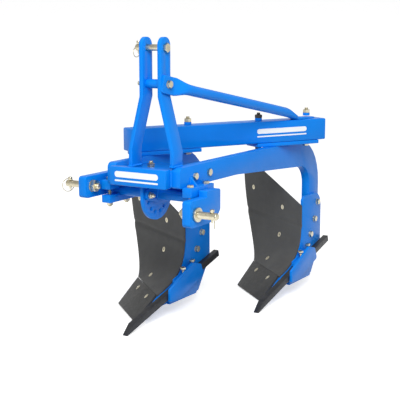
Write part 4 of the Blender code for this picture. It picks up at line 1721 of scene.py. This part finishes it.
# ---------------------------------------------------------------------- studio
@dataclass
class Studio:
    """Pale floor that rises into a round wall, soft lights and the camera.

    Attributes:
        places: where things are.
    """

    places: Places
    FLOOR_R = 13.0
    WALL_R = 3.0
    AZIMUTH = 31.54
    ELEVATION = 10.19
    EYE = (2.148, -3.071, 1.250)
    LENS = 86.94
    GLOW = 0.50

    def build(self) -> None:
        """Make the whole studio."""
        self._floor()
        self._world()
        self._light("key", (2.23, -3.57, 3.54), 2.4, 216.0)
        self._camera()

    def _floor(self) -> None:
        """Floor and wall in one lathe-turned sheet."""
        bpy.ops.mesh.primitive_circle_add(vertices=96, radius=self.FLOOR_R,
                                          fill_type="NGON", location=(0, 0, -0.0004))
        floor = Bench.named("studio_floor")
        rise = 10
        with Bench.editing(floor):
            bpy.ops.mesh.select_all(action="SELECT")
            bpy.ops.mesh.select_mode(type="EDGE")
            radius, height = self.FLOOR_R, 0.0
            for step in range(1, rise + 1):
                angle = math.pi / 2 * step / rise
                next_radius = self.FLOOR_R + self.WALL_R * math.sin(angle)
                next_height = self.WALL_R * (1 - math.cos(angle))
                if step == 1:
                    bpy.ops.mesh.select_all(action="SELECT")
                    bpy.ops.mesh.region_to_loop()
                bpy.ops.mesh.extrude_edges_move(TRANSFORM_OT_translate={
                    "value": (0, 0, next_height - height)})
                grow = next_radius / radius
                bpy.ops.transform.resize(value=(grow, grow, 1),
                                         center_override=(0, 0, next_height))
                radius, height = next_radius, next_height
        Bench.smooth(floor, 60.0)
        material = bpy.data.materials.new("pale floor")
        material.use_nodes = True
        graph = Graph(material.node_tree)
        shader = material.node_tree.nodes["Principled BSDF"]
        shader.inputs["Roughness"].default_value = 0.9
        shader.inputs["Specular IOR Level"].default_value = 0.1
        shader.inputs["Emission Color"].default_value = (1.0, 1.0, 1.0, 1.0)
        path = graph.add("ShaderNodeLightPath")
        seen = graph.maths("MAXIMUM", path.outputs["Is Camera Ray"],
                           path.outputs["Is Glossy Ray"])
        graph.wire(graph.remap(seen, 0.0, 1.0, 0.0, self.GLOW),
                   shader.inputs["Emission Strength"])
        graph.wire(graph.blend(seen, (0.50, 0.50, 0.50), (0.92, 0.92, 0.92)),
                   shader.inputs["Base Color"])
        clear = graph.add("ShaderNodeBsdfTransparent")
        side = graph.add("ShaderNodeNewGeometry")
        mix = graph.add("ShaderNodeMixShader")
        graph.wire(side.outputs["Backfacing"], mix.inputs[0])
        graph.wire(shader.outputs[0], mix.inputs[1])
        graph.wire(clear.outputs[0], mix.inputs[2])
        graph.wire(mix.outputs[0], material.node_tree.nodes["Material Output"].inputs[0])
        floor.data.materials.append(material)

    @staticmethod
    def _world() -> None:
        """Even white surroundings."""
        world = bpy.data.worlds.new("studio")
        world.use_nodes = True
        ground = world.node_tree.nodes["Background"]
        ground.inputs["Color"].default_value = (1.0, 1.0, 1.0, 1.0)
        ground.inputs["Strength"].default_value = 0.60
        bpy.context.scene.world = world
        bpy.context.scene.view_settings.view_transform = "Standard"

    @staticmethod
    def _light(name: str, place: Sequence[float], size: float, power: float) -> None:
        """Square area light that looks at the middle of the plough."""
        lamp = bpy.data.lights.new(name, "AREA")
        lamp.size = size
        lamp.energy = power
        holder = bpy.data.objects.new(name, lamp)
        holder.location = place
        look = Vector((0, 0, 0.55)) - Vector(place)
        holder.rotation_euler = look.to_track_quat("-Z", "Y").to_euler()
        bpy.context.scene.collection.objects.link(holder)

    def _camera(self) -> None:
        """Camera at its standing place."""
        azimuth, lift = math.radians(self.AZIMUTH), math.radians(self.ELEVATION)
        back = Vector((math.sin(azimuth) * math.cos(lift),
                       -math.cos(azimuth) * math.cos(lift), math.sin(lift)))
        data = bpy.data.cameras.new("camera")
        data.lens = self.LENS
        data.sensor_width = 36.0
        data.clip_start, data.clip_end = 0.05, 200.0
        camera = bpy.data.objects.new("camera", data)
        camera.location = self.places.at(*self.EYE)
        camera.rotation_euler = (-back).to_track_quat("-Z", "Y").to_euler()
        bpy.context.scene.collection.objects.link(camera)
        bpy.context.scene.camera = camera


def main() -> None:
    """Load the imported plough, dress it piece by piece and set up the studio."""
    logging.basicConfig(level=logging.INFO)
    for old in list(bpy.data.objects):
        bpy.data.objects.remove(old, do_unlink=True)
    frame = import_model()
    paint = Paintshop()
    places = Places.read()
    rack, welder, pins = Rack(paint), Welder(paint), LinchPins(paint)
    beam = BeamWork(places)
    Platework(paint).build(frame, {"rear_stay", "top_link_pin", "front_mouldboard",
                                   "rear_mouldboard"})
    for tag, corner in places.bodies.items():
        PloughBody(tag, corner).build(rack, welder, paint)
    beam.build(rack, welder, paint)
    Stay(places).build(paint, beam)
    Headstock(places).build(rack, welder)
    Mast(places).build(rack, welder, paint, pins)
    HitchShaft(places).build(rack, welder, paint, pins)
    Stripes(places).build(paint, beam)
    rack.clear()
    Studio(places).build()


if __name__ == "__main__":
    main()
